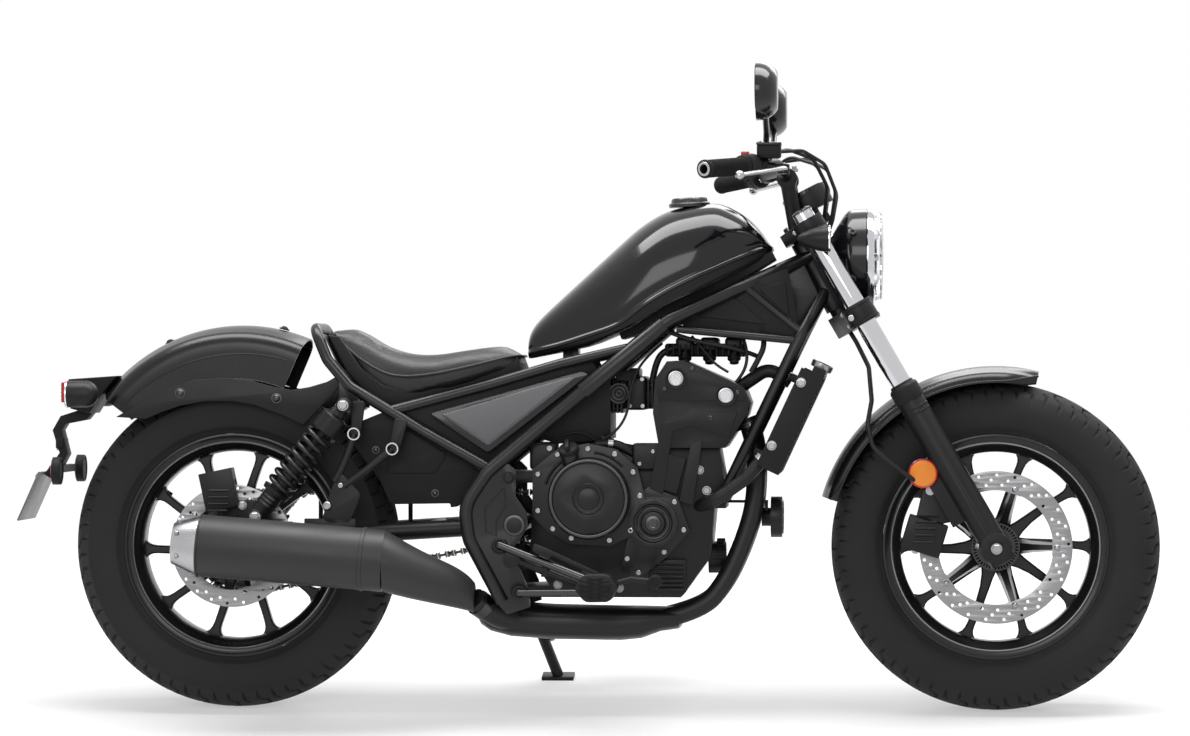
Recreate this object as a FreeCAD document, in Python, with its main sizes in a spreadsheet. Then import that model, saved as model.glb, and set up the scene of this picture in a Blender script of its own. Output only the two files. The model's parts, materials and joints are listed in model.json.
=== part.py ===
import FreeCAD, Part
import math
import os
import re
import Sketcher
from FreeCAD import Placement, Rotation, Vector

# Cruiser motorcycle, in millimetres. X runs forward from the rear axle, Y to the
# rider's left and Z up from the ground, until the last step leans the whole machine on
# its side stand and centres its box.

values = {
    # stance and steering
    "wheelbase": 1490, "axle_height": 320, "drawn_height": 320, "rake": 28, "trail": 110, "lean": 10,
    "fork_angle": 30, "leg_spread": 115, "running_gap": 0.3, "seat_gap": 0.2,
    # tyres and wheels
    "tyre_radius": 320, "crown_radius": 85, "crown_half": 56, "shoulder_radius": 262,
    "front_tyre_half": 65, "rear_tyre_half": 75, "rim_edge": 219, "rim_seat": 203,
    "rim_window": 186, "front_rim_half": 45, "rear_rim_half": 53, "rim_wall": 6,
    "hub_radius": 44, "front_hub_half": 45, "rear_hub_half": 50, "spoke_count": 10,
    "spoke_root_half": 14, "spoke_tip_half": 7.5, "spoke_thick": 24, "boss_radius": 9,
    "front_axle_radius": 9, "rear_axle_radius": 10, "spacer_radius": 15,
    # discs, sprockets and chain
    "front_disc_radius": 148, "front_disc_inner": 110, "front_disc_offset": 72,
    "rear_disc_radius": 120, "rear_disc_inner": 86, "rear_disc_offset": 85,
    "disc_thick": 5, "front_disc_bolts": 118, "rear_disc_bolts": 95,
    "chain_offset": 91, "sprocket_thick": 5, "rear_sprocket_radius": 101,
    "front_sprocket_radius": 38, "sprocket_inner": 62, "sprocket_bolts": 72,
    "sprocket_teeth": 40, "tooth_height": 6, "link_half": 7, "link_plate": 2,
    "chain_inner_half": 4, "front_sprocket_x": 640, "front_sprocket_z": 383,
    # frame and swingarm
    "head_low": 889, "head_high": 1038, "head_radius": 23.5, "head_bore": 18,
    "main_tube": 27, "down_tube": 25, "brace_tube": 15, "cross_tube": 24,
    "plate_inner": 134, "plate_thick": 9, "pivot_x": 559, "pivot_z": 363,
    "pivot_radius": 17, "pivot_bolt": 15, "pivot_pin": 8, "pivot_head": 6,
    "arm_tube": 34, "arm_front": 106, "arm_rear": 118, "arm_end_long": 80, "arm_end_tall": 50,
    "arm_end_back": 32, "arm_cross": 16, "shock_lug_thick": 12, "guard_post": 4.5,
    "rail_tube": 20, "loop_tube": 22, "cover_side": 112, "cover_thick": 14, "panel_side": 80,
    "panel_thick": 4, "battery_right": 95, "battery_left": 70, "airbox_half": 86,
    "subframe_lug_side": 104, "subframe_lug_thick": 14,
    "cap_radius": 38, "cap_tall": 14, "seat_cross": 8, "sleeve_radius": 17, "sleeve_long": 205, "sleeve_gap": 12,
    # side stand
    "stand_boss": 15, "stand_boss_half": 12, "stand_tube": 11, "stand_pin": 6, "stand_stub": 13,
    "stand_stub_long": 32, "stand_head": 18, "stand_head_radius": 11,
    "pad_long": 64, "pad_wide": 46, "pad_thick": 7, "ankle_long": 26, "ankle_wide": 22,
    # shocks
    "shock_body": 20, "shock_spring": 29, "shock_valley": 23, "shock_cap": 21.6,
    "shock_eye": 14, "shock_eye_wide": 43.4, "shock_coils": 8, "shock_body_long": 110,
    "spring_start": 60, "shock_cap_long": 52,
    # fork, yokes and front axle
    "leg_low": -30, "seal_level": 360, "tube_top": 750, "leg_radius": 27,
    "fork_tube": 20.5, "lug_radius": 30, "low_yoke": 503, "yoke_thick": 42,
    "high_yoke": 709, "top_thick": 24, "yoke_ring": 31, "yoke_back": 28, "yoke_nose": 28,
    "bar_tube": 22, "bar_bore": 8, "bar_bore_deep": 35, "grip_end": 3,
    # fenders
    "front_fender_radius": 352, "fender_wall": 3, "fender_crown": 12, "front_fender_half": 77,
    "front_fender_start": 76, "front_fender_sweep": 88, "front_skirt": 322,
    "rear_fender_radius": 342, "rear_fender_half": 95, "rear_fender_x": 10,
    "rear_fender_z": 410, "rear_fender_start": 67, "rear_fender_sweep": 76,
    "rear_skirt": 236, "rear_stay_thick": 5.6, "tail_half": 60, "reflector_radius": 27,
    "board_tilt": 24,
    # engine
    "case_right": 95, "case_left": 80, "head_half": 112, "rib_rise": 5, "panel_rise": 2.5,
    "plug_radius": 15, "plug_rise": 4, "clutch_x": 703, "clutch_z": 415, "clutch_radius": 80,
    "clutch_case_rise": 24, "clutch_rise": 56, "clutch_ring": 31, "clutch_ring_deep": 2,
    "crank_x": 827, "crank_z": 367, "crank_case_rise": 17, "crank_radius": 48, "crank_rise": 27,
    "crank_ring": 38, "crank_ring_deep": 5, "crank_boss": 22, "throttle_cap": 19,
    "filter_radius": 31, "filter_long": 34, "engine_bolt": 8,
    # exhaust
    "header_tube": 38, "header_offset": 40, "header_bend": 90, "link_pipe": 46, "link_bend": 60,
    "chamber_fillet": 20, "tip_long": 52, "tip_end": 40, "outlet_radius": 24, "outlet_floor": 20,
    # radiator, horn and hoses
    "radiator_tilt": 25, "radiator_post": 7, "horn_radius": 40, "horn_back": 18,
    "coolant_hose": 26, "brake_hose": 9, "cable": 7,
    # lamps
    "lamp_radius": 90, "lamp_ahead": -315, "lamp_height": 567, "signal_radius": 26,
    "signal_long": 36, "signal_stem": 8, "lamp_neck": 30, "lamp_neck_start": 8,
    "lamp_neck_end": 34, "lamp_rim_start": 70, "lamp_rim_end": 92, "lamp_rim": 3,
    "lamp_glass_start": 78, "lamp_glass_curve": 300, "lamp_crown": 98, "lamp_lip": 4,
    "lamp_ear_in": 86, "lamp_ear_out": 100, "lamp_ear": 10, "lamp_arm": 11,
    # bars and what they carry
    "grip_long": 124, "grip_radius": 17, "housing_radius": 23, "housing_end": 153,
    "collar_radius": 14, "collar_end": 165, "perch_middle": 176, "perch_half": 12,
    "perch_radius": 16, "perch_reach": 44, "perch_drop": 8, "perch_arm": 9, "lever_tube": 12,
    "lever_ball": 9, "mirror_stem": 12, "dial_radius": 46, "dial_low": 20, "dial_high": 16,
    "dial_stem": 12, "dial_stem_low": 52, "riser_radius": 15, "riser_cap": 20,
    "riser_cap_half": 16,
    # brakes
    "caliper_gap": 7.5, "caliper_inner": 12, "caliper_bridge": 6,
    # foot controls
    "peg_radius": 14, "peg_arm": 8.5, "peg_boss": 16, "peg_boss_long": 19, "pedal_rod": 6,
    "pedal_toe": 12, "pedal_toe_long": 50,
}

# points on the left side, as X, Y and Z; the right side mirrors them
places = {
    "rail_tank": (985, 88, 820), "rail_bend": (857, 118, 761), "rail_low": (505, 140, 465),
    "rail_heel": (462, 140, 400), "rail_back": (470, 140, 336), "rail_foot": (536, 140, 214),
    "down_foot": (958, 88, 410), "brace_rear": (872, 110, 744), "strut_rear": (1004, 82, 826),
    "cross_high": (520, 0, 462), "cross_low": (517, 0, 288),
    "seat_front": (778, 120, 706), "seat_mid": (645, 112, 676), "seat_dip": (501, 112, 634),
    "seat_rear": (318, 112, 586), "loop_front": (505, 132, 474), "loop_mid": (374, 116, 547),
    "loop_rise": (234, 112, 632), "loop_turn": (190, 108, 684), "loop_top": (163, 92, 745),
    "arm_mid": (314, 114, 348), "shock_foot": (55, 140, 379), "shock_head": (227, 140, 596),
    "arm_brace": (392, 112, 354), "guard_rear": (150, 104, 336), "guard_front": (330, 104, 350),
    "seat_bar": (660, 112, 680), "cap": (892, 0, 988), "engine_high": (548, 0, 455),
    "engine_low": (566, 0, 232), "throttle": (758, 38, 619), "intake": (742, 42, 612),
    "filter": (930, 0, 297), "radiator": (1093, 0, 566), "horn": (1052, 0, 376),
    "plug_rear": (871, 0, 643), "plug_front": (968, 0, 610),
    "filler_foot": (672, 118, 470), "filler_top": (664, 142, 505),
    "hanger": (221, 154, 456), "hanger_rear": (262, 150, 540), "hanger_rear_end": (274, 128, 598),
    "hanger_front": (330, 150, 512), "hanger_front_end": (350, 126, 558),
    "link_start": (540, 84, 190), "link_mid": (500, 104, 208), "link_end": (482, 134, 222),
    "hose_low_a": (1046, 120, 498), "hose_low_b": (1004, 121, 452), "hose_low_c": (950, 119, 414),
    "hose_low_d": (912, 84, 398), "hose_high_a": (1092, 46, 640), "hose_high_b": (1048, 46, 668),
    "hose_high_c": (992, 46, 630),
    "rear_signal": (-284, 124, 617), "signal_root": (-296, 60, 617), "reflector": (-346, 130, 467),
    "board": (-384, 0, 464),
    "stand_pivot": (560, 165, 204), "stand_foot": (615, 240, 48), "peg": (709, 262, 241),
    "peg_root": (556, 0, 300), "peg_elbow": (622, 0, 274), "peg_inner": (709, 172, 241),
    "pedal_knee": (790, 196, 262), "pedal_toe_in": (836, 200, 258),
}

# points of the front end, measured from the front axle
front_places = {
    "rail_head": (-362, 14, 566), "down_head": (-332, 12, 498), "down_bend": (-374, 82, 418),
    "brace_front": (-390, 83, 402), "strut_front": (-382, 80, 422),
    "bar_clamp": (-405, 58, 717), "bar_rise": (-422, 150, 742), "bar_bend": (-466, 262, 734),
    "bar_end": (-551, 385, 722), "meter": (-366, 0, 676), "mirror": (-448, 330, 872),
    "mirror_foot": (-444, 206, 742), "front_signal": (-330, 160, 611),
    "brake_a": (-127, 100, 111), "brake_b": (-165, 132, 136), "brake_c": (-206, 134, 168),
    "brake_d": (-238, 132, 196), "brake_e": (-248, 128, 240), "brake_f": (-240, 112, 285),
    "brake_g": (-246, 74, 350), "brake_h": (-270, 56, 398), "brake_i": (-296, 48, 440),
    "cable_a": (-462, 236, 740), "cable_b": (-418, 214, 762), "cable_c": (-372, 176, 766),
    "cable_d": (-330, 128, 742), "cable_e": (-310, 88, 690), "cable_f": (-318, 66, 640),
    "cable_g": (-330, 60, 606),
    "clutch_a": (-446, 196, 744), "clutch_b": (-404, 168, 770), "clutch_c": (-352, 124, 752),
    "clutch_d": (-326, 84, 700), "clutch_e": (-334, 46, 636), "clutch_f": (-340, 40, 604),
}

# boxes, as the lowest X, Y and Z with the length, width and height
blocks = {
    "tank_mount": (645, -30, 680, 30, 60, 50), "battery_tab": (408, -114, 508, 20, 20, 14),
    "high_mount": (539, -80, 444, 90, 160, 22), "low_mount": (557, -80, 221, 90, 160, 22),
    "front_mount": (940, -80, 395, 26, 160, 30), "left_cover": (690, 80, 345, 80, 44, 90),
    "radiator_core": (-3.5, -150, -105, 27, 300, 210), "radiator_top": (-2.5, -150, 104, 25, 300, 12),
    "radiator_right": (-23.5, -150, -103, 47, 22, 206), "radiator_left": (-23.5, 128, -103, 47, 22, 206),
    "horn_strap": (966.2, -12, 404, 80, 24, 5), "horn_stem": (1040, -12, 368, 6, 24, 40),
    "chamber": (480, -100, 152, 390, 200, 53), "heat_strip": (151, -158, 340, 100, 8, 36),
    "chain_cover": (118, 80, 434, 286, 34, 5), "chain_lip": (118, 109, 418, 286, 5, 18),
    "tail_lens": (-345, -55, 600, 16, 110, 40), "reflector_bar": (-358, -110, 462, 16, 220, 14),
    "leg_stay": (-52, -6, 76, 40, 12, 110), "reservoir": (-6, -34, 12, 46, 52, 30),
    "meter_base": (0, -35, 713, 44, 70, 16), "plate_board": (0, -90, -104, 3, 180, 104),
}

# side outlines, as X and Z
outlines = {
    "crankcase": [(585, 300), (592, 452), (640, 505), (740, 513), (838, 513), (953, 513),
                  (966, 440), (946, 410), (936, 300), (880, 222), (640, 222)],
    "cylinders": [(838, 513), (826, 581), (830, 646), (853, 681), (884, 683), (1002, 631),
                  (1014, 600), (1008, 577), (966, 513)],
    "rear_rib": [(846, 562), (868, 568), (846, 424), (820, 436)],
    "front_rib": [(900, 521), (922, 527), (904, 402), (878, 410)],
    "block_panel": [(857, 500), (890, 492), (872, 424), (840, 434)],
    "head_step": [(842, 560), (882, 574), (900, 592), (930, 583), (990, 583), (974, 534),
                  (900, 556), (862, 545)],
    "head_cover": [(836, 606), (838, 652), (856, 674), (884, 677), (998, 627), (1006, 604)],
    "clutch_case": [(592, 472), (592, 380), (622, 350), (664, 326), (744, 322), (800, 350),
                    (812, 420), (797, 474), (757, 510), (700, 522), (640, 510)],
    "crank_case": [(800, 424), (818, 438), (874, 418), (898, 352), (852, 300), (796, 258),
                   (764, 276), (776, 332), (790, 380)],
    "frame_panel": [(880, 772), (985, 824), (1086, 862), (1098, 812), (1106, 752), (1100, 722),
                    (884, 742)],
    "airbox": [(570, 540), (640, 520), (742, 530), (742, 668), (600, 636)],
    "side_cover": [(390, 577), (505, 505), (700, 654), (680, 656)],
    "pivot_plate": [(500, 474), (548, 482), (561, 469), (561, 418), (582, 389), (586, 363),
                    (569, 334), (552, 317), (584, 245), (590, 205), (545, 190), (524, 214),
                    (462, 336), (452, 400)],
    "rear_stay": [(-228, 572), (-175, 602), (-128, 627), (-73, 645), (-14, 649), (37, 644),
                  (84, 631), (119, 625), (188, 641), (218, 658), (222, 640), (175, 590),
                  (142, 556), (100, 576), (44, 596), (0, 603), (-50, 603), (-101, 594),
                  (-136, 582), (-169, 568)],
    "tail_light": [(-330, 646), (-326, 588), (-255, 570), (-200, 655)],
    "plate_arm": [(-285, 584), (-318, 584), (-352, 573), (-368, 545), (-354, 500), (-385, 458),
                  (-366, 446), (-338, 498), (-350, 545), (-342, 558), (-300, 566)],
    "battery_box": [(324, 432), (338, 413), (430, 413), (430, 523), (324, 523)],
    "subframe_lug": [(214, 600), (214, 642), (258, 624), (246, 588)],
    "arm_lug": [(20, 340), (90, 340), (66, 390), (44, 390)],
    "hanger_plate": [(186, 376), (196, 366), (240, 366), (262, 424), (221, 466), (206, 440)],
    "front_arm": [(-42, 84), (-42, 178), (-58, 178), (-112, 120), (-78, 96)],
    "rear_arm": [(-16, 24), (-22, 90), (60, 90), (62, 40), (24, 0), (24, -20), (-24, -20)],
}
header_route = [(1006, 570, 1), (1024, 524, 1), (1025, 436, 1.1), (1017, 379, 1.15),
                (993, 310, 1.2), (962, 246, 1.3), (920, 198, 1.5), (850, 180, 1.6)]
level_free = ("front_arm", "rear_arm")

# cross-sections of lofted pieces: X, lowest Z, highest Z, half width, middle Y
sections = {
    "tank": [(579, 687, 738, 66, 0), (624, 696, 787, 82, 0), (700, 712, 857, 104, 0),
             (780, 746, 930, 122, 0), (850, 790, 976, 130, 0), (930, 828, 991, 122, 0),
             (1000, 861, 966, 92, 0), (1045, 885, 922, 64, 0), (1058, 892, 907, 50, 0)],
    "seat": [(194, 735, 744, 70, 0), (210, 716, 752, 82, 0), (243, 668, 742, 90, 0),
             (300, 606, 708, 98, 0), (345, 604.3, 694, 112, 0), (400, 619.3, 694, 128, 0),
             (450, 632.3, 702, 132, 0), (501, 646.3, 709, 124, 0), (535, 659.3, 710, 108, 0),
             (572, 674, 696, 80, 0)],
    "muffler": [(-46, 265, 385, 60, -202), (312, 236, 356, 60, -202), (350, 226, 334, 55, -197),
                (401, 214, 306, 47, -180), (449, 203, 281, 40, -158), (481, 193, 251, 32, -134)],
}
for group in (places, front_places):
    for name, point in group.items():
        for letter, number in zip("xyz", point):
            values[f"{name}_{letter}"] = number
for name, corners in outlines.items():
    for count, corner in enumerate(corners):
        values[f"{name}_{count}_x"], values[f"{name}_{count}_z"] = corner
for name, numbers in blocks.items():
    for word, number in zip(("x", "y", "z", "long", "wide", "tall"), numbers):
        values[f"{name}_{word}"] = number
for count, numbers in enumerate(header_route):
    for word, number in zip(("x", "z", "spread"), numbers):
        values[f"header_{count}_{word}"] = number
for name, rings in sections.items():
    for count, numbers in enumerate(rings):
        for word, number in zip(("x", "low", "high", "half", "side"), numbers):
            values[f"{name}_{count}_{word}"] = number

doc = FreeCAD.newDocument("motorcycle")
sheet = doc.addObject("Spreadsheet::Sheet", "Sizes")
for row, (name, number) in enumerate(values.items(), start=1):
    sheet.set(f"A{row}", name)
    sheet.set(f"B{row}", str(number))
    sheet.setAlias(f"B{row}", name)
doc.recompute()
nodes = []


def bound(text):
    """The same formula with every named size read from the sheet."""
    return re.sub(r"[a-z]\w*", lambda word: "Sizes." + word[0] if word[0] in values else word[0],
                  str(text))


def size(text):
    return float(sheet.evalExpression(bound(text)))


def spot(name, side=1):
    point = Vector(size(name + "_x"), side * size(name + "_y"), size(name + "_z"))
    if name in front_places:
        return point + Vector(size("wheelbase"), 0, size("axle_height"))
    return point + Vector(0, 0, size("axle_height - drawn_height"))


def node(made, label, place=None):
    made.Label = label
    if place:
        made.Placement = place
    nodes.append(made)
    return made


def shaped(label, shape, place=None):
    made = doc.addObject("Part::Feature", label)
    made.Shape = shape
    return node(made, label, place)


def cylinder(radius, length, base, axis=(0, 0, 1)):
    made = doc.addObject("Part::Cylinder", "cylinder")
    made.setExpression("Radius", bound(radius))
    made.setExpression("Height", bound(length))
    made.Placement.Rotation = Rotation(Vector(0, 0, 1), Vector(*axis))
    for letter, text in zip("xyz", base):
        made.setExpression("Placement.Base." + letter, bound(text))
    return made


def box(sides, base):
    made = doc.addObject("Part::Box", "box")
    for side, text in zip(("Length", "Width", "Height"), sides):
        made.setExpression(side, bound(text))
    for letter, text in zip("xyz", base):
        made.setExpression("Placement.Base." + letter, bound(text))
    return made


def joined(pieces):
    made = doc.addObject("Part::MultiFuse", "joined")
    made.Shapes = pieces
    return made


def bundle(pieces):
    made = doc.addObject("Part::Compound", "bundle")
    made.Links = pieces
    return made


def less(base, tool):
    made = doc.addObject("Part::Cut", "less")
    made.Base = base
    made.Tool = tool
    return made


def origin(body, role):
    return [feature for feature in body.Origin.OriginFeatures if feature.Role == role][0]


def flat_sketch(body, role, lift):
    """An empty sketch on one of the body's planes, lifted along that plane's normal."""
    sketch = body.newObject("Sketcher::SketchObject", "outline")
    sketch.AttachmentSupport = [(origin(body, role), "")]
    sketch.MapMode = "FlatFace"
    sketch.setExpression("AttachmentOffset.Base.z", bound(lift))
    return sketch


def outline(body, role, corners, arcs=None, lift="0"):
    """A closed sketch. Each corner is a pair of formulas; arcs maps a side to its radius,
    plus when it bends left of the way it runs."""
    arcs = arcs or {}
    sketch = flat_sketch(body, role, lift)
    points = [Vector(size(x), size(y), 0) for x, y in corners]
    ends = []
    for index, start in enumerate(points):
        finish = points[(index + 1) % len(points)]
        if index in arcs:
            radius = size(arcs[index])
            along = (finish - start) * 0.5
            left = Vector(-along.y, along.x, 0).normalize()
            reach = math.sqrt(radius * radius - along.Length ** 2)
            centre = start + along + left * (reach if radius > 0 else -reach)
            first, last = (start, finish) if radius > 0 else (finish, start)
            circle = Part.Circle(centre, Vector(0, 0, 1), abs(radius))
            angles = [math.atan2(p.y - centre.y, p.x - centre.x) for p in (first, last)]
            sketch.addGeometry(Part.ArcOfCircle(circle, *angles), False)
            ends.append((1, 2) if radius > 0 else (2, 1))
        else:
            sketch.addGeometry(Part.LineSegment(start, finish), False)
            ends.append((1, 2))
    for index, (x, y) in enumerate(corners):
        after = (index + 1) % len(corners)
        sketch.addConstraint(Sketcher.Constraint(
            "Coincident", index, ends[index][1], after, ends[after][0]))
        for kind, text in (("DistanceX", x), ("DistanceY", y)):
            place = sketch.addConstraint(Sketcher.Constraint(
                kind, -1, 1, index, ends[index][0], size(text)))
            sketch.setExpression(f"Constraints[{place}]", bound(text))
    for index, text in arcs.items():
        place = sketch.addConstraint(Sketcher.Constraint("Radius", index, abs(size(text))))
        sketch.setExpression(f"Constraints[{place}]", bound(f"abs({text})"))
    return sketch


def high(name, count):
    """The level of an outline's corner, which follows the axles."""
    follows = "" if name in level_free else " + axle_height - drawn_height"
    return f"{name}_{count}_z{follows}"


def outlined(name):
    return [(size(f"{name}_{count}_x"), size(high(name, count)))
            for count in range(len(outlines[name]))]


def ring(body, role, radius, x="0", y="0", lift="0"):
    sketch = flat_sketch(body, role, lift)
    sketch.addGeometry(Part.Circle(Vector(size(x), size(y), 0), Vector(0, 0, 1), size(radius)),
                       False)
    for kind, text in (("DistanceX", x), ("DistanceY", y)):
        place = sketch.addConstraint(Sketcher.Constraint(kind, -1, 1, 0, 3, size(text)))
        sketch.setExpression(f"Constraints[{place}]", bound(text))
    place = sketch.addConstraint(Sketcher.Constraint("Radius", 0, size(radius)))
    sketch.setExpression(f"Constraints[{place}]", bound(radius))
    return sketch


def revolve(body, profile, angle="360", axis="V_Axis"):
    made = body.newObject("PartDesign::Revolution", "turned")
    made.Profile = profile
    made.ReferenceAxis = (profile, [axis])
    made.setExpression("Angle", bound(angle))
    return made


def pad(body, profile, length, both_ways=True, reverse=False):
    made = body.newObject("PartDesign::Pad", "pad")
    made.Profile = profile
    made.Midplane = both_ways
    made.Reversed = reverse
    made.setExpression("Length", bound(length))
    return made


def around(body, feature, count):
    made = body.newObject("PartDesign::PolarPattern", "around")
    made.Originals = [feature]
    made.Axis = (origin(body, "Y_Axis"), [""])
    made.Angle = 360
    made.setExpression("Occurrences", bound(count))
    body.Tip = made
    return made


def part_body(label):
    return doc.addObject("PartDesign::Body", label)


def path(points, bend):
    """Straight runs joined by tangent arcs, each limited by its two runs."""
    edges = []
    start = points[0]
    for before, corner, after in zip(points, points[1:], points[2:]):
        back = before - corner
        ahead = after - corner
        half = (math.pi - back.getAngle(ahead)) / 2
        reach = min(bend * math.tan(half), 0.45 * back.Length, 0.45 * ahead.Length)
        radius = reach / math.tan(half)
        back.normalize()
        ahead.normalize()
        first = corner + back * reach
        last = corner + ahead * reach
        middle = corner + (back + ahead).normalize() * (radius / math.cos(half) - radius)
        if (first - start).Length > 1e-6:
            edges.append(Part.LineSegment(start, first).toShape())
        edges.append(Part.Arc(first, middle, last).toShape())
        start = last
    edges.append(Part.LineSegment(start, points[-1]).toShape())
    return Part.Wire(edges)


def tube(points, width, bend):
    section = Part.makeCircle(width / 2, points[0], points[1] - points[0])
    return path(points, bend).makePipe(Part.Face(Part.Wire(section)))


def mirrored(make):
    """The left and right copies of a shape made by make(side)."""
    return [make(1), make(-1)]


def merged(shapes):
    return shapes[0].fuse(shapes[1:]).removeSplitter()


def plate(corners, near, far):
    """A flat plate in the XZ plane between two Y levels."""
    points = [Vector(x, near, z) for x, z in corners]
    face = Part.Face(Part.makePolygon(points + points[:1]))
    return face.extrude(Vector(0, far - near, 0))


def side_plate(name, side, near, thick):
    """A flat plate with a named outline, from a distance off the middle outwards."""
    return plate(outlined(name), side * near, side * (near + thick))


def brick(name, local=False, offset=Vector()):
    """A named box; one on the chassis follows the axles."""
    sides = [size(f"{name}_{word}") for word in ("long", "wide", "tall")]
    corner = Vector(*(size(f"{name}_{letter}") for letter in "xyz")) + offset
    if not local:
        corner.z += size("axle_height - drawn_height")
    return Part.makeBox(*sides, corner)


def solid_box(name):
    """The same named box as a document object."""
    base = [f"{name}_{letter}" for letter in "xyz"]
    base[2] += " + axle_height - drawn_height"
    return box([f"{name}_{word}" for word in ("long", "wide", "tall")], base)


def lofted(sections):
    return Part.makeLoft(sections, True, False)


def tyre(label, half, rim_half):
    body = part_body(label)
    shoulder = "tyre_radius - crown_radius + sqrt(crown_radius^2 - crown_half^2)"
    corners = [("rim_edge + seat_gap", f"-{rim_half} - 1"), ("rim_edge + seat_gap", f"{rim_half} + 1"),
               ("shoulder_radius", half), (shoulder, "crown_half"),
               (shoulder, "-crown_half"), ("shoulder_radius", f"-{half}")]
    revolve(body, outline(body, "XY_Plane", corners, {3: "-crown_radius"}))
    return body


def wheel(label, rim_half, hub_half, axle_radius, disc_bolts, disc_offset, driven):
    body = part_body(label)
    hub = [(f"{axle_radius} + running_gap", f"-{hub_half}"), ("hub_radius", f"-{hub_half}"),
           ("hub_radius", hub_half), (f"{axle_radius} + running_gap", hub_half)]
    revolve(body, outline(body, "XY_Plane", hub))
    spoke = [("hub_radius - 10", "-spoke_root_half"), ("rim_window + 5", "-spoke_tip_half"),
             ("rim_window + 5", "spoke_tip_half"), ("hub_radius - 10", "spoke_root_half")]
    around(body, pad(body, outline(body, "XZ_Plane", spoke), "spoke_thick"), "spoke_count")
    rim = [("rim_edge", rim_half), ("rim_edge", f"{rim_half} - rim_wall"),
           ("rim_seat", f"{rim_half} - rim_wall - 3"), ("rim_seat", f"rim_wall + 3 - {rim_half}"),
           ("rim_edge", f"rim_wall - {rim_half}"), ("rim_edge", f"-{rim_half}"),
           ("rim_window + 10", f"3 - {rim_half}"), ("rim_window", "-spoke_thick"),
           ("rim_window", "spoke_thick"), ("rim_window + 10", f"{rim_half} - 3")]
    revolve(body, outline(body, "XY_Plane", rim))
    boss = ring(body, "XZ_Plane", "boss_radius", disc_bolts)
    around(body, pad(body, boss, f"{disc_offset} - disc_thick / 2", False), "spoke_count / 2")
    if driven:
        boss = ring(body, "XZ_Plane", "boss_radius", "sprocket_bolts")
        length = "chain_offset - sprocket_thick / 2"
        around(body, pad(body, boss, length, False, True), "spoke_count / 2")
    return body


def disc(label, radius, inner, offset):
    body = part_body(label)
    faces = (f"-{offset} - disc_thick / 2", f"disc_thick / 2 - {offset}")
    corners = [(inner, faces[0]), (radius, faces[0]), (radius, faces[1]), (inner, faces[1])]
    revolve(body, outline(body, "XY_Plane", corners))
    return body


def sprocket():
    body = part_body("rear_sprocket")
    faces = ("chain_offset - sprocket_thick / 2", "chain_offset + sprocket_thick / 2")
    rim = "rear_sprocket_radius - tooth_height"
    corners = [("sprocket_inner", faces[0]), (rim, faces[0]), (rim, faces[1]),
               ("sprocket_inner", faces[1])]
    revolve(body, outline(body, "XY_Plane", corners))
    tooth = [(f"{rim} - 2", "-5"), ("rear_sprocket_radius", "-2"), ("rear_sprocket_radius", "2"),
             (f"{rim} - 2", "5")]
    sketch = outline(body, "XZ_Plane", tooth, lift=f"-({faces[1]})")
    around(body, pad(body, sketch, "sprocket_thick", False), "sprocket_teeth")
    return body


def panel(name, low, top):
    """A flat piece with a named side outline, between two Y levels."""
    body = part_body(name + "_side")
    corners = [(f"{name}_{count}_x", high(name, count)) for count in range(len(outlines[name]))]
    sketch = outline(body, "XZ_Plane", corners, lift=f"-({top})")
    pad(body, sketch, f"({top}) - ({low})", False)
    return body


def turned_cover(corners, x, z):
    """A round cover on the engine's right side, from its half section in radius and Y."""
    body = part_body("cover")
    revolve(body, outline(body, "XY_Plane", corners))
    for letter, text in (("x", x), ("z", z + " + axle_height - drawn_height")):
        body.setExpression("Placement.Base." + letter, bound(text))
    return body


def axle(radius, hub_half, gap_half, reach):
    """The axle with its two spacers, along Y."""
    pieces = [cylinder(radius, f"2 * ({reach})", ("0", reach, "0"), (0, -1, 0))]
    for side in (1, -1):
        start = f"{side} * ({hub_half} + running_gap)"
        length = f"{gap_half} - {hub_half} - 2 * running_gap"
        pieces.append(cylinder("spacer_radius", length, ("0", start, "0"), (0, side, 0)))
    return joined(pieces)


def belt(front_radius, rear_radius):
    """A closed loop round the two sprockets, in the plane Y = 0."""
    front = Vector(size("front_sprocket_x"), 0,
                   size("front_sprocket_z + axle_height - drawn_height"))
    rear = Vector(0, 0, size("axle_height"))
    along = front - rear
    tilt = math.asin((rear_radius - front_radius) / along.Length)
    base = math.atan2(along.z, along.x)

    def rim(centre, radius, angle):
        return centre + Vector(math.cos(angle), 0, math.sin(angle)) * radius

    high = base + math.pi / 2 - tilt
    low = base - math.pi / 2 + tilt
    corners = [rim(rear, rear_radius, high), rim(front, front_radius, high),
               rim(front, front_radius, base), rim(front, front_radius, low),
               rim(rear, rear_radius, low), rim(rear, rear_radius, base + math.pi)]
    return Part.Wire([Part.makeLine(corners[0], corners[1]),
                      Part.Arc(*corners[1:4]).toShape(),
                      Part.makeLine(corners[3], corners[4]),
                      Part.Arc(corners[4], corners[5], corners[0]).toShape()])


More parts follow.
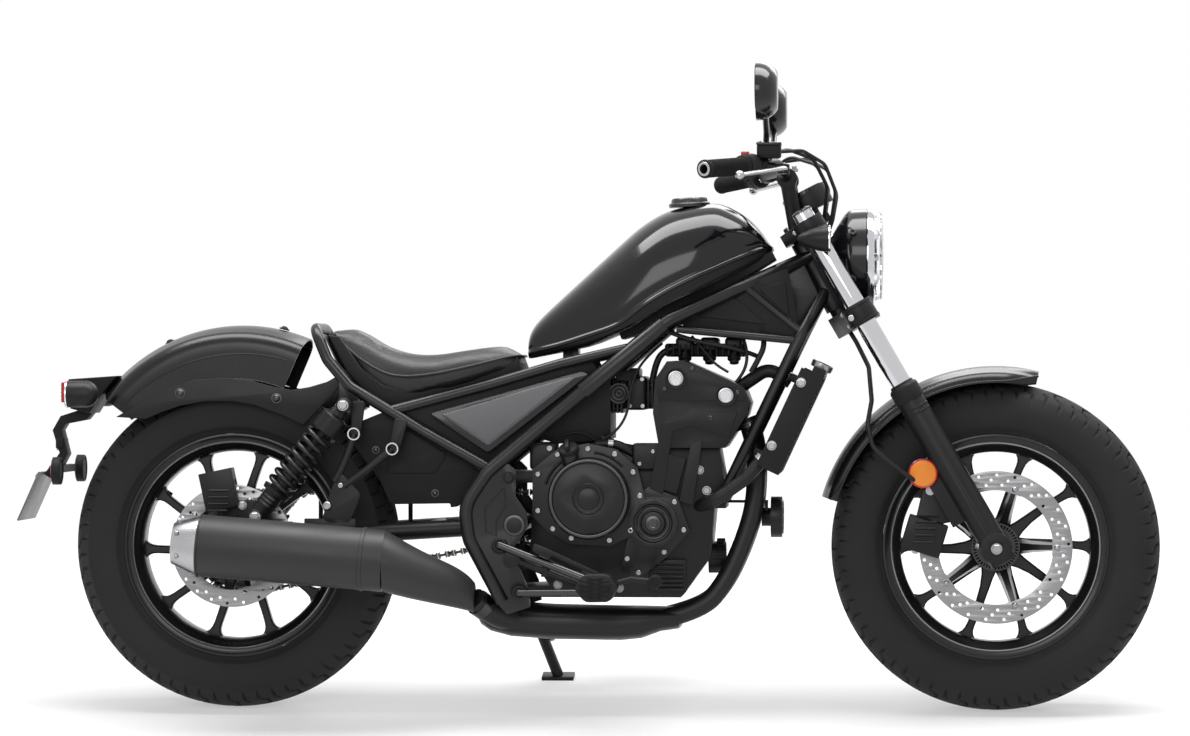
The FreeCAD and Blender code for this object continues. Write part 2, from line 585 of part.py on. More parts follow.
def drive_chain():
    """Two bands of link plates, joined by a web along both straight runs."""
    half = size("link_half")
    radii = size("front_sprocket_radius"), size("rear_sprocket_radius")
    band = Part.Face([belt(*(r + half for r in radii)), belt(*(r - half for r in radii))],
                     "Part::FaceMakerBullseye")
    middle = size("chain_offset")
    inner = size("chain_inner_half")
    thick = size("link_plate")
    pieces = []
    for low in (middle + inner, middle - inner - thick):
        shape = band.extrude(Vector(0, thick, 0))
        shape.translate(Vector(0, low, 0))
        pieces.append(shape)
    runs = belt(*radii).Edges
    for edge in (runs[0], runs[2]):
        first, last = (v.Point for v in edge.Vertexes)
        if first.x > last.x:
            first, last = last, first
        along = (last - first).normalize()
        start = first + along * 4 * size("tooth_height")
        web = Part.makeBox((last - start).Length, 2 * inner, 4,
                           Vector(0, -inner, -2))
        web.Placement = Placement(start + Vector(0, middle, 0),
                                  Rotation(Vector(1, 0, 0), along))
        pieces.append(web)
    return merged(pieces)


def fender(label, radius, half, skirt, sweep):
    body = part_body(label)
    outer = f"{radius} - fender_crown"
    bend = f"(({half} - fender_wall)^2 + fender_crown^2) / (2 * fender_crown)"
    corners = [(skirt, f"-{half}"), (outer, f"fender_wall - {half}"),
               (outer, f"{half} - fender_wall"), (skirt, half),
               (skirt, f"{half} - fender_wall"), (f"{outer} - fender_wall", f"{half} - 2 * fender_wall"),
               (f"{outer} - fender_wall", f"2 * fender_wall - {half}"),
               (skirt, f"fender_wall - {half}")]
    arcs = {1: bend, 5: f"-({bend} - fender_wall)"}
    revolve(body, outline(body, "XY_Plane", corners, arcs), sweep)
    return body


def egg(numbers):
    """A closed section across X, flat below and crowned above."""
    x, low, high, half, side = numbers
    tall = high - low
    rim = [(1, 0), (1.0, 0.22), (0.94, 0.5), (0.72, 0.82), (0.36, 0.96), (0, 1)]
    left = [Vector(x, side + half * share, low + tall * up) for share, up in rim]
    right = [Vector(x, side - half * share, low + tall * up) for share, up in rim[-2::-1]]
    curve = Part.BSplineCurve()
    curve.interpolate(left + right)
    return Part.Wire([curve.toShape(), Part.makeLine(right[-1], left[0])])


def oval(numbers):
    x, low, high, half, side = numbers
    tall = (high - low) / 2
    middle = Vector(x, side, low + tall)
    if half > tall:
        shape = Part.Ellipse(middle + Vector(0, half, 0), middle + Vector(0, 0, tall), middle)
    elif tall > half:
        shape = Part.Ellipse(middle + Vector(0, 0, tall), middle + Vector(0, -half, 0), middle)
    else:
        shape = Part.Circle(middle, Vector(1, 0, 0), half)
    return Part.Wire(shape.toShape())


def stations(name):
    shift = {"low": " + axle_height - drawn_height", "high": " + axle_height - drawn_height"}
    return [[size(f"{name}_{count}_{word}" + shift.get(word, ""))
             for word in ("x", "low", "high", "half", "side")]
            for count in range(len(sections[name]))]


def steering(level):
    """A point on the steering axis, by its distance from where the axis meets the ground."""
    rake = math.radians(size("rake"))
    return Vector(size("wheelbase + trail") - level * math.sin(rake), 0,
                  level * math.cos(rake) + size("axle_height - drawn_height"))


def rod(start, finish, radius):
    return Part.makeCylinder(radius, (finish - start).Length, start, finish - start)


across = Vector(0, 1, 0)
ahead = Vector(1, 0, 0)
stand_hinge = Vector(0, 0.923, 0.385)
front_axle = Placement(Vector(size("wheelbase"), 0, size("axle_height")), Rotation())
rear_axle = Placement(Vector(0, 0, size("axle_height")), Rotation())
fork_turn = Placement(Vector(), Rotation(Vector(0, 1, 0), -size("fork_angle")))
fork_frame = front_axle.multiply(fork_turn)

# wheels
node(tyre("front_tyre", "front_tyre_half", "front_rim_half"), "front_tyre", front_axle)
node(wheel("front_wheel", "front_rim_half", "front_hub_half", "front_axle_radius",
           "front_disc_bolts", "front_disc_offset", False), "front_wheel", front_axle)
node(disc("front_disc", "front_disc_radius", "front_disc_inner", "front_disc_offset"),
     "front_disc", front_axle)
node(axle("front_axle_radius", "front_hub_half", "leg_spread - leg_radius",
          "leg_spread + leg_radius + 6"), "front_axle", front_axle)
node(tyre("rear_tyre", "rear_tyre_half", "rear_rim_half"), "rear_tyre", rear_axle)
node(wheel("rear_wheel", "rear_rim_half", "rear_hub_half", "rear_axle_radius",
           "rear_disc_bolts", "rear_disc_offset", True), "rear_wheel", rear_axle)
node(disc("rear_disc", "rear_disc_radius", "rear_disc_inner", "rear_disc_offset"),
     "rear_disc", rear_axle)
node(sprocket(), "rear_sprocket", rear_axle)
node(axle("rear_axle_radius", "rear_hub_half", "arm_rear - arm_tube / 2",
          "arm_rear + arm_tube / 2 + 6"), "rear_axle", rear_axle)
shaped("drive_chain", drive_chain())


# frame
def swing_pivot():
    return Vector(size("pivot_x"), 0, size("pivot_z + axle_height - drawn_height"))


def main_frame():
    head = rod(steering(size("head_low")), steering(size("head_high")), size("head_radius"))
    bore = rod(steering(size("head_low") - 1), steering(size("head_high") + 1), size("head_bore"))
    pieces = [head]
    inner = size("plate_inner")
    for side in (1, -1):
        rail = [spot(name, side) for name in ("rail_head", "rail_tank", "rail_bend", "rail_low",
                                              "rail_heel", "rail_back", "rail_foot")]
        pieces.append(tube(rail, size("main_tube"), 70))
        down = [spot(name, side) for name in ("down_head", "down_bend", "down_foot")]
        pieces.append(tube(down, size("down_tube"), 60))
        pieces.append(rod(spot("brace_rear", side), spot("brace_front", side),
                          size("brace_tube") / 2))
        pieces.append(rod(spot("strut_rear", side), spot("strut_front", side),
                          size("brace_tube") / 2))
        pieces.append(side_plate("pivot_plate", side, inner, size("plate_thick")))
        bend = spot("rail_bend", side)
        along = (spot("rail_low", side) - bend).normalize()
        start = bend + along * size("sleeve_gap")
        pieces.append(rod(start, start + along * size("sleeve_long"), size("sleeve_radius")))
    for name in ("cross_high", "cross_low"):
        middle = spot(name)
        reach = Vector(0, inner + 3, 0)
        pieces.append(rod(middle - reach, middle + reach, size("cross_tube") / 2))
    stand = spot("stand_pivot")
    face = size("stand_boss_half + 2 * running_gap")
    pieces.append(rod(stand - stand_hinge * size("stand_stub_long"), stand - stand_hinge * face,
                      size("stand_stub")))
    pieces.append(rod(stand - stand_hinge * (face + 1), stand + stand_hinge * (face + 1),
                      size("stand_pin")))
    pieces.append(rod(stand + stand_hinge * face, stand + stand_hinge * size("stand_head"),
                      size("stand_head_radius")))
    pivot = swing_pivot()
    reach = across * size("2 * plate_inner")
    hole = rod(pivot - reach, pivot + reach, size("pivot_pin + running_gap"))
    return merged(pieces).cut([bore, hole])


frame_shape = main_frame()
shaped("main_frame", frame_shape)
frame_tool = doc.addObject("Part::Feature", "frame_tool")
frame_tool.Shape = frame_shape


tank_shape = lofted([egg(numbers) for numbers in stations("tank")])


def rear_subframe():
    pieces = []
    for side in (1, -1):
        seat = [spot(name, side) for name in ("seat_front", "seat_mid", "seat_dip", "seat_rear")]
        pieces.append(tube(seat, size("rail_tube"), 120))
        pieces.append(side_plate("subframe_lug", side, size("subframe_lug_side"),
                                 size("subframe_lug_thick")))
    names = ("loop_front", "loop_mid", "loop_rise", "loop_turn", "loop_top")
    loop = [spot(name, 1) for name in names] + [spot(name, -1) for name in reversed(names)]
    pieces.append(tube(loop, size("loop_tube"), 40))
    pieces.append(rod(spot("seat_bar"), spot("seat_bar", -1), size("seat_cross")))
    pieces.append(brick("tank_mount"))
    return merged(pieces).cut([frame_shape, tank_shape])


subframe_shape = rear_subframe()
shaped("rear_subframe", subframe_shape)
subframe_tool = doc.addObject("Part::Feature", "subframe_tool")
subframe_tool.Shape = subframe_shape


def swingarm():
    pieces = []
    pivot = swing_pivot()
    for side in (1, -1):
        front = pivot + across * side * size("arm_front")
        back = Vector(0, side * size("arm_rear"), size("axle_height"))
        pieces.append(tube([front, spot("arm_mid", side), back], size("arm_tube"), 200))
        corner = Vector(size("-arm_end_back"), side * size("arm_rear") - size("arm_tube / 2"),
                        size("axle_height - arm_end_tall / 2"))
        pieces.append(Part.makeBox(size("arm_end_long"), size("arm_tube"), size("arm_end_tall"),
                                   corner))
        near = size("arm_rear - shock_lug_thick")
        pieces.append(side_plate("arm_lug", side, near, size("shock_lug_thick")))
    reach = across * size("arm_front + arm_tube / 2 - 1")
    pieces.append(rod(pivot - reach, pivot + reach, size("pivot_radius")))
    pieces.append(rod(spot("arm_brace"), spot("arm_brace", -1), size("arm_cross")))
    outer = across * size("plate_inner + plate_thick + seat_gap")
    pieces.append(rod(pivot - outer, pivot + outer, size("pivot_pin")))
    for side in (1, -1):
        face = pivot + outer * side
        pieces.append(rod(face, face + across * side * size("pivot_head"), size("pivot_bolt")))
    for name in ("guard_rear", "guard_front"):
        foot = spot(name)
        level = size("chain_cover_z + axle_height - drawn_height") - foot.z
        pieces.append(rod(foot, foot + Vector(0, 0, level - size("running_gap")),
                          size("guard_post")))
    middle = rear_axle.Base
    reach = across * size("2 * arm_rear")
    hole = rod(middle - reach, middle + reach, size("rear_axle_radius + seat_gap"))
    return merged(pieces).cut(hole)


shaped("swingarm", swingarm())


def shock(side):
    foot = spot("shock_foot", side)
    head = spot("shock_head", side)
    along = (head - foot).normalize()
    length = (head - foot).Length
    wide = size("shock_eye_wide") / 2
    pieces = [rod(end - across * wide, end + across * wide, size("shock_eye"))
              for end in (foot, head)]
    pieces.append(rod(foot, foot + along * size("shock_body_long"), size("shock_body")))
    start, finish = size("spring_start"), length - size("shock_cap_long")
    coils = int(size("shock_coils"))
    step = (finish - start) / coils
    corners = [Vector(0, 0, start)]
    for coil in range(coils):
        for share, radius in ((0.0, "shock_valley"), (0.3, "shock_spring"),
                              (0.7, "shock_spring")):
            corners.append(Vector(size(radius), 0, start + step * (coil + share)))
    corners += [Vector(size("shock_valley"), 0, finish), Vector(0, 0, finish)]
    face = Part.Face(Part.makePolygon(corners + corners[:1]))
    spring = face.revolve(Vector(), Vector(0, 0, 1), 360)
    spring.Placement = Placement(foot, Rotation(Vector(0, 0, 1), along))
    pieces.append(spring)
    pieces.append(rod(foot + along * (finish - 1), head, size("shock_cap")))
    return merged(pieces)


shaped("shock_absorbers", Part.makeCompound(mirrored(shock)))

# tank, seat and side pieces
shaped("fuel_tank", tank_shape)
shaped("seat", lofted([egg(numbers) for numbers in stations("seat")]))


def fuel_cap():
    base = spot("cap")
    up = Vector(-0.05, 0, 1)  # square to the tank's top there
    return rod(base, base + up * size("cap_tall"), size("cap_radius")).cut(tank_shape)


shaped("fuel_cap", fuel_cap())


def side_covers():
    pieces = []
    for side in (1, -1):
        inner, thick = size("cover_side"), size("cover_thick")
        cover = side_plate("side_cover", side, inner, thick)
        corner = outlined("side_cover")[1]
        start = Vector(corner[0], 0, corner[1])
        end = outlined("side_cover")[2]
        along = (Vector(end[0], 0, end[1]) - start).normalize()
        down = Vector(along.z, 0, -along.x)
        tabs = []
        for distance in (60, 170):
            first = start + along * distance - down * 4
            tab = [first, first + along * 14, first + along * 14 + down * 22, first + down * 22]
            tabs.append(plate([(p.x, p.z) for p in tab], side * (inner + 1),
                              side * (inner + thick - 1)))
        pieces.append(merged([cover] + tabs).cut(frame_shape))
    return Part.makeCompound(pieces)


shaped("side_covers", side_covers())
battery = joined([panel("battery_box", "-battery_right", "battery_left"),
                  solid_box("battery_tab")])
node(less(battery, subframe_tool), "battery_box")
shaped("frame_panels", Part.makeCompound([
    side_plate("frame_panel", side, size("panel_side"), size("panel_thick")).cut(frame_shape)
    for side in (1, -1)]))
shaped("chain_guard", merged([brick("chain_cover"), brick("chain_lip")]))


def placed(name, side=1):
    """The formulas of a named place, for pieces kept as document objects."""
    lift = " + axle_height - drawn_height"
    return (name + "_x", f"{side} * {name}_y", name + "_z" + lift)


airbox = panel("airbox", "-airbox_half", "airbox_half")
intakes = [cylinder("24", "84", placed("intake", side), (1, 0, 0)) for side in (1, -1)]
intakes.append(cylinder("throttle_cap", "46", placed("throttle", -1), (0, -1, 0)))
node(joined([airbox] + intakes), "airbox")

# engine
crankcase = panel("crankcase", "-case_right", "case_left")
mounts = [solid_box(name) for name in ("high_mount", "low_mount", "front_mount")]
for name in ("engine_high", "engine_low"):
    x, y, z = placed(name)
    mounts.append(cylinder("engine_bolt", "2 * plate_inner", (x, "plate_inner", z), (0, -1, 0)))
filter_can = cylinder("filter_radius", "filter_long", placed("filter"), (1, 0, 0))
node(less(joined([crankcase, filter_can] + mounts), frame_tool), "crankcase")

face = "-case_right - clutch_case_rise + 1"
dome = "-case_right - clutch_rise"
clutch = [("0", face), ("clutch_radius", face), ("clutch_radius", f"{dome} + 16"),
          ("clutch_radius - 5", f"{dome} + 5"), ("clutch_radius - 14", dome), ("clutch_ring", dome),
          ("clutch_ring - 2", f"{dome} + clutch_ring_deep"), ("0", f"{dome} + clutch_ring_deep")]
face = "-case_right - crank_case_rise + 1"
top = "-case_right - crank_rise"
crank = [("0", face), ("crank_radius", face), ("crank_radius", top), ("crank_ring", top),
         ("crank_ring - 2", f"{top} + crank_ring_deep"),
         ("crank_boss + 2", f"{top} + crank_ring_deep"), ("crank_boss", f"{top} + 1"),
         ("0", f"{top} + 1")]
right = [panel("clutch_case", "-case_right - clutch_case_rise", "-case_right"),
         panel("crank_case", "-case_right - crank_case_rise", "-case_right"),
         turned_cover(clutch, "clutch_x", "clutch_z"), turned_cover(crank, "crank_x", "crank_z")]
filler = doc.addObject("Part::Feature", "filler")
filler.Shape = rod(spot("filler_foot", -1), spot("filler_top", -1), 17)
left = [cylinder("80", "56", ("crank_x + 3", "case_left", placed("crank")[2]), (0, 1, 0)),
        cylinder("62", "16", ("front_sprocket_x", "chain_offset + 17",
                              "front_sprocket_z + axle_height - drawn_height"), (0, 1, 0)),
        solid_box("left_cover")]
covers = bundle([joined(right + [filler]), joined(left)])
node(covers, "engine_covers")
doc.recompute()
lower_shapes = [made.Shape for made in nodes if made.Label in ("crankcase", "engine_covers")]
lower_tool = doc.addObject("Part::Feature", "lower_tool")
lower_tool.Shape = Part.makeCompound(lower_shapes)

forms = [panel("cylinders", "-head_half", "head_half")]
for name, rise in (("rear_rib", "rib_rise"), ("front_rib", "rib_rise"), ("head_step", "rib_rise"),
                   ("block_panel", "panel_rise"), ("head_cover", "panel_rise")):
    forms.append(panel(name, f"-head_half - {rise}", f"head_half + {rise}"))
for name in ("plug_rear", "plug_front"):
    x, y, z = placed(name)
    half = "head_half + panel_rise + plug_rise"
    forms.append(cylinder("plug_radius", f"2 * ({half})", (x, half, z), (0, -1, 0)))
node(less(joined(forms), lower_tool), "cylinders")


def radiator():
    pieces = [brick(name, True) for name in ("radiator_core", "radiator_top", "radiator_right",
                                             "radiator_left")]
    for side in (1, -1):
        for level in (76, -84):
            pieces.append(Part.makeCylinder(size("radiator_post"), 37,
                                            Vector(-3, side * 84, level), -ahead))
    made = merged(pieces)
    made.Placement = Placement(spot("radiator"), Rotation(across, size("radiator_tilt")))
    return made


radiator_shape = radiator()
shaped("radiator", radiator_shape.cut(frame_shape))


def horn():
    face = spot("horn")
    return merged([rod(face, face + ahead * 22, size("horn_radius")),
                   rod(face - ahead * 18, face + ahead * 2, size("horn_back")),
                   brick("horn_stem"), brick("horn_strap")])


shaped("horn", horn())


def muffler():
    rings = stations("muffler")
    cone = lofted([oval(numbers) for numbers in rings[1:]])
    x, low, high, half, side = rings[0]
    first = Vector(x, side, (low + high) / 2)
    x, low, high, half, side = rings[1]
    last = Vector(x, side, (low + high) / 2)
    barrel = rod(first, last, half)
    along = (first - last).normalize()
    reach = size("tip_long")
    tip = Part.makeCone(half, size("tip_end"), reach, first, along)
    outlet = rod(first + along * size("outlet_floor"), first + along * (reach + 8),
                 size("outlet_radius"))
    return merged([cone, barrel, tip]).cut(outlet)


muffler_shape = muffler()
shaped("muffler", muffler_shape)


def exhaust_pipes():
    pieces = []
    lift = size("axle_height - drawn_height")
    route = [[size(f"header_{count}_{word}") for word in ("x", "z", "spread")]
             for count in range(len(header_route))]
    for side in (1, -1):
        offset = size("header_offset") * side
        points = [Vector(x, offset * spread, z + lift) for x, z, spread in route]
        pieces.append(tube(points, size("header_tube"), size("header_bend")))
    chamber = brick("chamber")
    long_edges = [edge for edge in chamber.Edges if edge.Length > size("chamber_long - 1")]
    pieces.append(chamber.makeFillet(size("chamber_fillet"), long_edges))
    points = [spot(name, -1) for name in ("link_start", "link_mid", "link_end")]
    pieces.append(tube(points, size("link_pipe"), size("link_bend")))
    half = size("head_half + rib_rise")
    return merged(pieces).cut([muffler_shape, plate(outlined("cylinders"), -half, half)])


shaped("exhaust_pipes", exhaust_pipes())


def peg_bracket():
    arms = [[spot(name, -1) for name in ("hanger", "hanger_" + end, f"hanger_{end}_end")]
            for end in ("rear", "front")]
    hanger = side_plate("hanger_plate", -1, 150, 8)
    tubes = [tube(points, 14, 40) for points in arms]
    return merged([brick("heat_strip"), hanger] + tubes).cut([subframe_shape, muffler_shape])


shaped("peg_bracket", peg_bracket())
doc.recompute()
engine_shapes = [made.Shape for made in nodes if made.Label in ("crankcase", "cylinders",
                                                                "engine_covers")]


def coolant_hose(name, side):
    points = [spot(f"hose_{name}_{letter}", side) for letter in "abcd"
              if f"hose_{name}_{letter}" in places]
    shape = tube(points, size("coolant_hose"), 30)
    return shape.cut(engine_shapes + [radiator_shape])


shaped("coolant_hoses", Part.makeCompound([coolant_hose("low", -1), coolant_hose("high", -1)]))

# fork
legs = []
for side in (1, -1):
    offset = f"{side} * leg_spread"
    legs.append(cylinder("leg_radius", "seal_level - leg_low", ("0", offset, "leg_low")))
    legs.append(cylinder("lug_radius", "2 * leg_radius", ("0", f"{offset} + leg_radius", "0"),
                         (0, -1, 0)))
    legs.append(box(("leg_stay_long", "leg_stay_wide", "leg_stay_tall"),
                    ("leg_stay_x", f"{offset} + leg_stay_y", "leg_stay_z")))
bore = cylinder("front_axle_radius + seat_gap", "4 * leg_spread", ("0", "2 * leg_spread", "0"),
                (0, -1, 0))
node(less(joined(legs), bore), "fork_lowers", fork_frame)
stanchions = [cylinder("fork_tube", "tube_top - seal_level", ("0", f"{side} * leg_spread",
                                                              "seal_level")) for side in (1, -1)]
node(bundle(stanchions), "fork_tubes", fork_frame)


def fork_yokes():
    pieces = []
    back = fork_frame.inverse()
    low = back.multVec(steering(size("head_low"))).x
    for level, thick in ((size("low_yoke"), size("yoke_thick")),
                         (size("high_yoke"), size("top_thick"))):
        spread = size("leg_spread")
        nose = size("yoke_nose")
        rear = low - size("yoke_back")
        corners = [Vector(rear, -nose, level), Vector(-nose, -spread, level),
                   Vector(nose, -spread, level), Vector(nose, spread, level),
                   Vector(-nose, spread, level), Vector(rear, nose, level)]
        arms = Part.Face(Part.makePolygon(corners + corners[:1]))
        pieces.append(arms.extrude(Vector(0, 0, thick)))
        for side in (1, -1):
            pieces.append(Part.makeCylinder(size("yoke_ring"), thick,
                                            Vector(0, side * spread, level)))
    stem = rod(back.multVec(steering(size("head_low") - 30)),
               back.multVec(steering(size("head_high") + 10)), size("head_bore - running_gap"))
    pieces.append(stem)
    pieces.append(brick("meter_base", True))
    holes = [Part.makeCylinder(size("fork_tube + seat_gap"), size("tube_top"),
                               Vector(0, side * size("leg_spread"), size("seal_level")))
             for side in (1, -1)]
    return merged(pieces).cut(holes)


doc.recompute()
shaped("fork_yokes", fork_yokes(), fork_frame)


def mirror_points(names):
    """A route across the machine, from the right end to the left end."""
    left = [spot(name) for name in names]
    right = [spot(name, -1) for name in names]
    return right[::-1] + left


def along_grip(side, distance):
    """A point on the bar's middle line, by its distance from the bar's end."""
    end = spot("bar_end", side)
    bend = spot("bar_bend", side)
    run = (bend - end).Length
    if distance <= run:
        return end + (bend - end) * (distance / run)
    return bend + (spot("bar_rise", side) - bend).normalize() * (distance - run)


def handlebar():
    route = mirror_points(("bar_clamp", "bar_rise", "bar_bend", "bar_end"))
    bar = tube(route, size("bar_tube"), 90)
    pieces = [bar]
    for side in (1, -1):
        clamp = spot("bar_clamp", side)
        foot = fork_frame.multVec(Vector(-28, clamp.y, size("high_yoke + top_thick") - 9))
        pieces.append(rod(foot, clamp, size("riser_radius")))
        reach = across * size("riser_cap_half")
        pieces.append(rod(clamp - reach, clamp + reach, size("riser_cap")))
    ends = [rod(along_grip(side, -size("bar_tube")), along_grip(side, size("bar_bore_deep")),
                size("bar_bore")) for side in (1, -1)]
    return merged(pieces).cut(ends)


yokes = nodes[-1].Shape
bar_shape = handlebar().cut(yokes)
shaped("handlebar", bar_shape)


def bullet(centre, facing, radius, length):
    """A round drum along X with a domed back; facing is the way that its flat end looks."""
    back = centre - Vector(facing * radius, 0, 0)
    front = centre + Vector(facing * length, 0, 0)
    out = Vector(0, 0, radius)
    bend = centre + Vector(-facing * radius, 0, radius) * math.sqrt(0.5)
    sides = [Part.Arc(back, bend, centre + out).toShape(),
             Part.makeLine(centre + out, front + out), Part.makeLine(front + out, front),
             Part.makeLine(front, back)]
    return Part.Face(Part.Wire(sides)).revolve(centre, Vector(1, 0, 0), 360)


def grip(side):
    start = -size("grip_end")
    whole = rod(along_grip(side, start), along_grip(side, size("grip_long")), size("grip_radius"))
    mouth = rod(along_grip(side, start - 1), along_grip(side, 1), size("bar_bore + 1"))
    hollow = rod(along_grip(side, -1), along_grip(side, size("bar_bore_deep + 1")),
                 size("bar_bore"))
    return whole.cut([bar_shape, hollow, mouth])


shaped("hand_grips", Part.makeCompound(mirrored(grip)))


def controls(side):
    """Switch housing, lever perch and lever on one side, with the reservoir on the right."""
    def stretch(start, finish, radius):
        return rod(along_grip(side, size(start)), along_grip(side, size(finish)), size(radius))

    down = Vector(0, 0, size("perch_drop"))
    perch = along_grip(side, size("perch_middle"))
    pivot = perch + ahead * size("perch_reach") - down
    pieces = [stretch("grip_long + 1", "housing_end", "housing_radius"),
              stretch("perch_middle - perch_half", "perch_middle + perch_half", "perch_radius"),
              stretch("housing_end - 1", "collar_end", "collar_radius"),
              rod(perch, pivot, size("perch_arm"))]
    lever = [pivot, pivot + Vector(-6, side * 60, -3), along_grip(side, 6) + Vector(62, 0, -12)]
    pieces.append(tube(lever, size("lever_tube"), 120))
    pieces.append(rod(lever[-1] - down, lever[-1] + down, size("lever_ball")))
    if side < 0:
        pieces.append(brick("reservoir", True, perch))
    return merged(pieces).cut(bar_shape)


control_shapes = mirrored(controls)
shaped("hand_controls", Part.makeCompound(control_shapes))


def mirror(side):
    centre = spot("mirror", side)
    head = lofted([oval((centre.x + ahead, centre.z - tall, centre.z + tall, half, centre.y))
                   for ahead, tall, half in ((-8, 56, 76), (14, 52, 72), (32, 36, 52))])
    foot = spot("mirror_foot", side)
    stem = tube([foot, foot + Vector(4, side * 8, 50), centre + Vector(8, -side * 6, -30)],
                size("mirror_stem"), 60)
    return merged([head, stem]).cut([bar_shape])


shaped("mirrors", Part.makeCompound(mirrored(mirror)))


def meter():
    centre = spot("meter")
    up = Vector(-0.42, 0, 0.9)
    dial = rod(centre - up * size("dial_low"), centre + up * size("dial_high"),
               size("dial_radius"))
    stem = rod(centre - up * size("dial_stem_low"), centre - up * size("dial_low - 1"),
               size("dial_stem"))
    return dial.fuse(stem).cut(yokes)


shaped("instrument", meter())


def lamp_place():
    return Vector(size("wheelbase + lamp_ahead"), 0, size("axle_height + lamp_height"))


def headlight():
    radius = size("lamp_radius")
    back = lamp_place()

    def drum(start, finish, wide):
        return rod(back + ahead * size(start), back + ahead * size(finish), wide)

    neck = size("lamp_neck_end - lamp_neck_start")
    cone = Part.makeCone(size("lamp_neck"), radius, neck, back + ahead * size("lamp_neck_start"),
                         ahead)
    ears = [rod(back + Vector(40, side * size("lamp_ear_in"), 0),
                back + Vector(40, side * size("lamp_ear_out"), 0), size("lamp_ear"))
            for side in (1, -1)]
    seat = fork_frame.multVec(Vector(44, 0, size("high_yoke") + 12))
    arm = rod(seat + Vector(-4, 0, 0), back + Vector(26, 0, 60), size("lamp_arm"))
    glass = drum("lamp_glass_start", "lamp_rim_end + 28", radius - size("lamp_lip"))
    pieces = [cone, drum("lamp_neck_end", "lamp_rim_start", radius),
              drum("lamp_rim_start", "lamp_rim_end", radius + size("lamp_rim")), arm]
    return merged(pieces + ears).cut([glass, yokes])


lamp_shape = headlight()
shaped("headlight", lamp_shape)


def lamp_glass():
    radius = size("lamp_radius - lamp_lip - seat_gap")
    back = lamp_place()
    pane = rod(back + ahead * size("lamp_glass_start"), back + ahead * size("lamp_rim_end"), radius)
    curve = size("lamp_glass_curve")
    dome = Part.makeSphere(curve, back + ahead * (size("lamp_crown") - curve))
    dome = dome.common(Part.makeCylinder(radius, 30, back + ahead * size("lamp_glass_start + 2"),
                                         ahead))
    return pane.fuse(dome).removeSplitter()


shaped("headlight_glass", lamp_glass())


def front_signal(side):
    centre = spot("front_signal", side)
    body = bullet(centre, 1, size("signal_radius"), size("signal_long"))
    inner = Vector(centre.x + 10, side * size("leg_spread + yoke_ring / 2"), centre.z)
    stem = rod(inner, centre + Vector(10, 0, 0), size("signal_stem"))
    return merged([body, stem]).cut(yokes)


shaped("front_signals", Part.makeCompound(mirrored(front_signal)))


def held_route(prefix, letters, side, width, bend, holders):
    """A hose or cable held at both ends, through its named points."""
    points = [spot(f"{prefix}_{letter}", side) for letter in letters]
    shape = tube(points, size(width), bend).cut(holders)
    return max(shape.Solids, key=lambda piece: piece.Volume)


# fenders and brakes
guard = fender("front_guard", "front_fender_radius", "front_fender_half", "front_skirt",
               "front_fender_sweep")
guard.Placement = Placement(Vector(), Rotation(
    Vector(0, 1, 0), -size("front_fender_start + front_fender_sweep")))
stays = []
for side in (1, -1):
    low = "front_fender_half - 2" if side > 0 else "seat_gap + leg_radius - leg_spread"
    stay = box(("36", "leg_spread - leg_radius - seat_gap + 2 - front_fender_half", "24"),
               ("-18", low, "317"))
    stays.append(stay)
inner_stays = joined(stays)
inner_stays.Placement = fork_turn
node(joined([guard, inner_stays]), "front_fender", front_axle)


def caliper(angle, near, inner_near, far, low, top, disc_radius, disc_offset, outer):
    """Both halves of a caliper with the bridge over the disc, on the right side."""
    gap = size("caliper_gap")
    inner = size("caliper_inner")
    tall = top - low
    halves = [Part.makeBox(far - near, outer - disc_offset - gap, tall, Vector(near, -outer, low)),
              Part.makeBox(far - inner_near, inner, tall, Vector(inner_near, gap - disc_offset, low))]
    reach = outer - disc_offset + gap + inner
    bridge = disc_radius + size("caliper_bridge")
    halves.append(Part.makeBox(far - bridge, reach, tall, Vector(bridge, -outer, low)))
    shape = merged(halves)
    shape.Placement = Placement(Vector(), Rotation(Vector(0, 1, 0), -angle))
    return shape


def front_caliper():
    shape = caliper(163, 100, 134, 178, -14, 52, size("front_disc_radius"),
                    size("front_disc_offset"), 118)
    arm = side_plate("front_arm", -1, 102, 7)
    arm.Placement = fork_turn
    return shape.fuse(arm)


def rear_caliper():
    shape = caliper(102, 74, 111, 150, -32, 32, size("rear_disc_radius"),
                    size("rear_disc_offset"), 120)
    arm = side_plate("rear_arm", -1, 94.6, 6)
    hole = Part.makeCylinder(size("spacer_radius + seat_gap"), 60,
                             -across * size("arm_rear + 12"), across)
    return shape.fuse(arm).cut(hole)


shaped("front_caliper", front_caliper(), front_axle)
holders = [made.Shape for made in nodes if made.Label in ("fork_yokes", "fork_lowers", "headlight",
                                                          "hand_controls", "front_caliper",
                                                          "handlebar", "instrument")]
shaped("front_hoses", Part.makeCompound(
    [held_route("brake", "abcdefghi", -1, "brake_hose", 30, holders)]
    + [held_route("cable", "abcdefg", side, "cable", 40, holders) for side in (1, -1)]
    + [held_route("clutch", "abcdef", side, "cable", 40, holders) for side in (1, -1)]))
shaped("rear_caliper", rear_caliper(), rear_axle)
guard = fender("rear_guard", "rear_fender_radius", "rear_fender_half", "rear_skirt",
               "rear_fender_sweep")
turn = Rotation(Vector(0, 1, 0), -size("rear_fender_start + rear_fender_sweep"))
guard_centre = Vector(size("rear_fender_x"), 0,
                      size("rear_fender_z + axle_height - drawn_height"))
node(guard, "rear_fender", Placement(guard_centre, turn))


def fender_rails():
    half = size("rear_fender_half + seat_gap")
    stays = [side_plate("rear_stay", side, half, size("rear_stay_thick")) for side in (1, -1)]
    return Part.makeCompound([stay.cut(subframe_shape) for stay in stays])


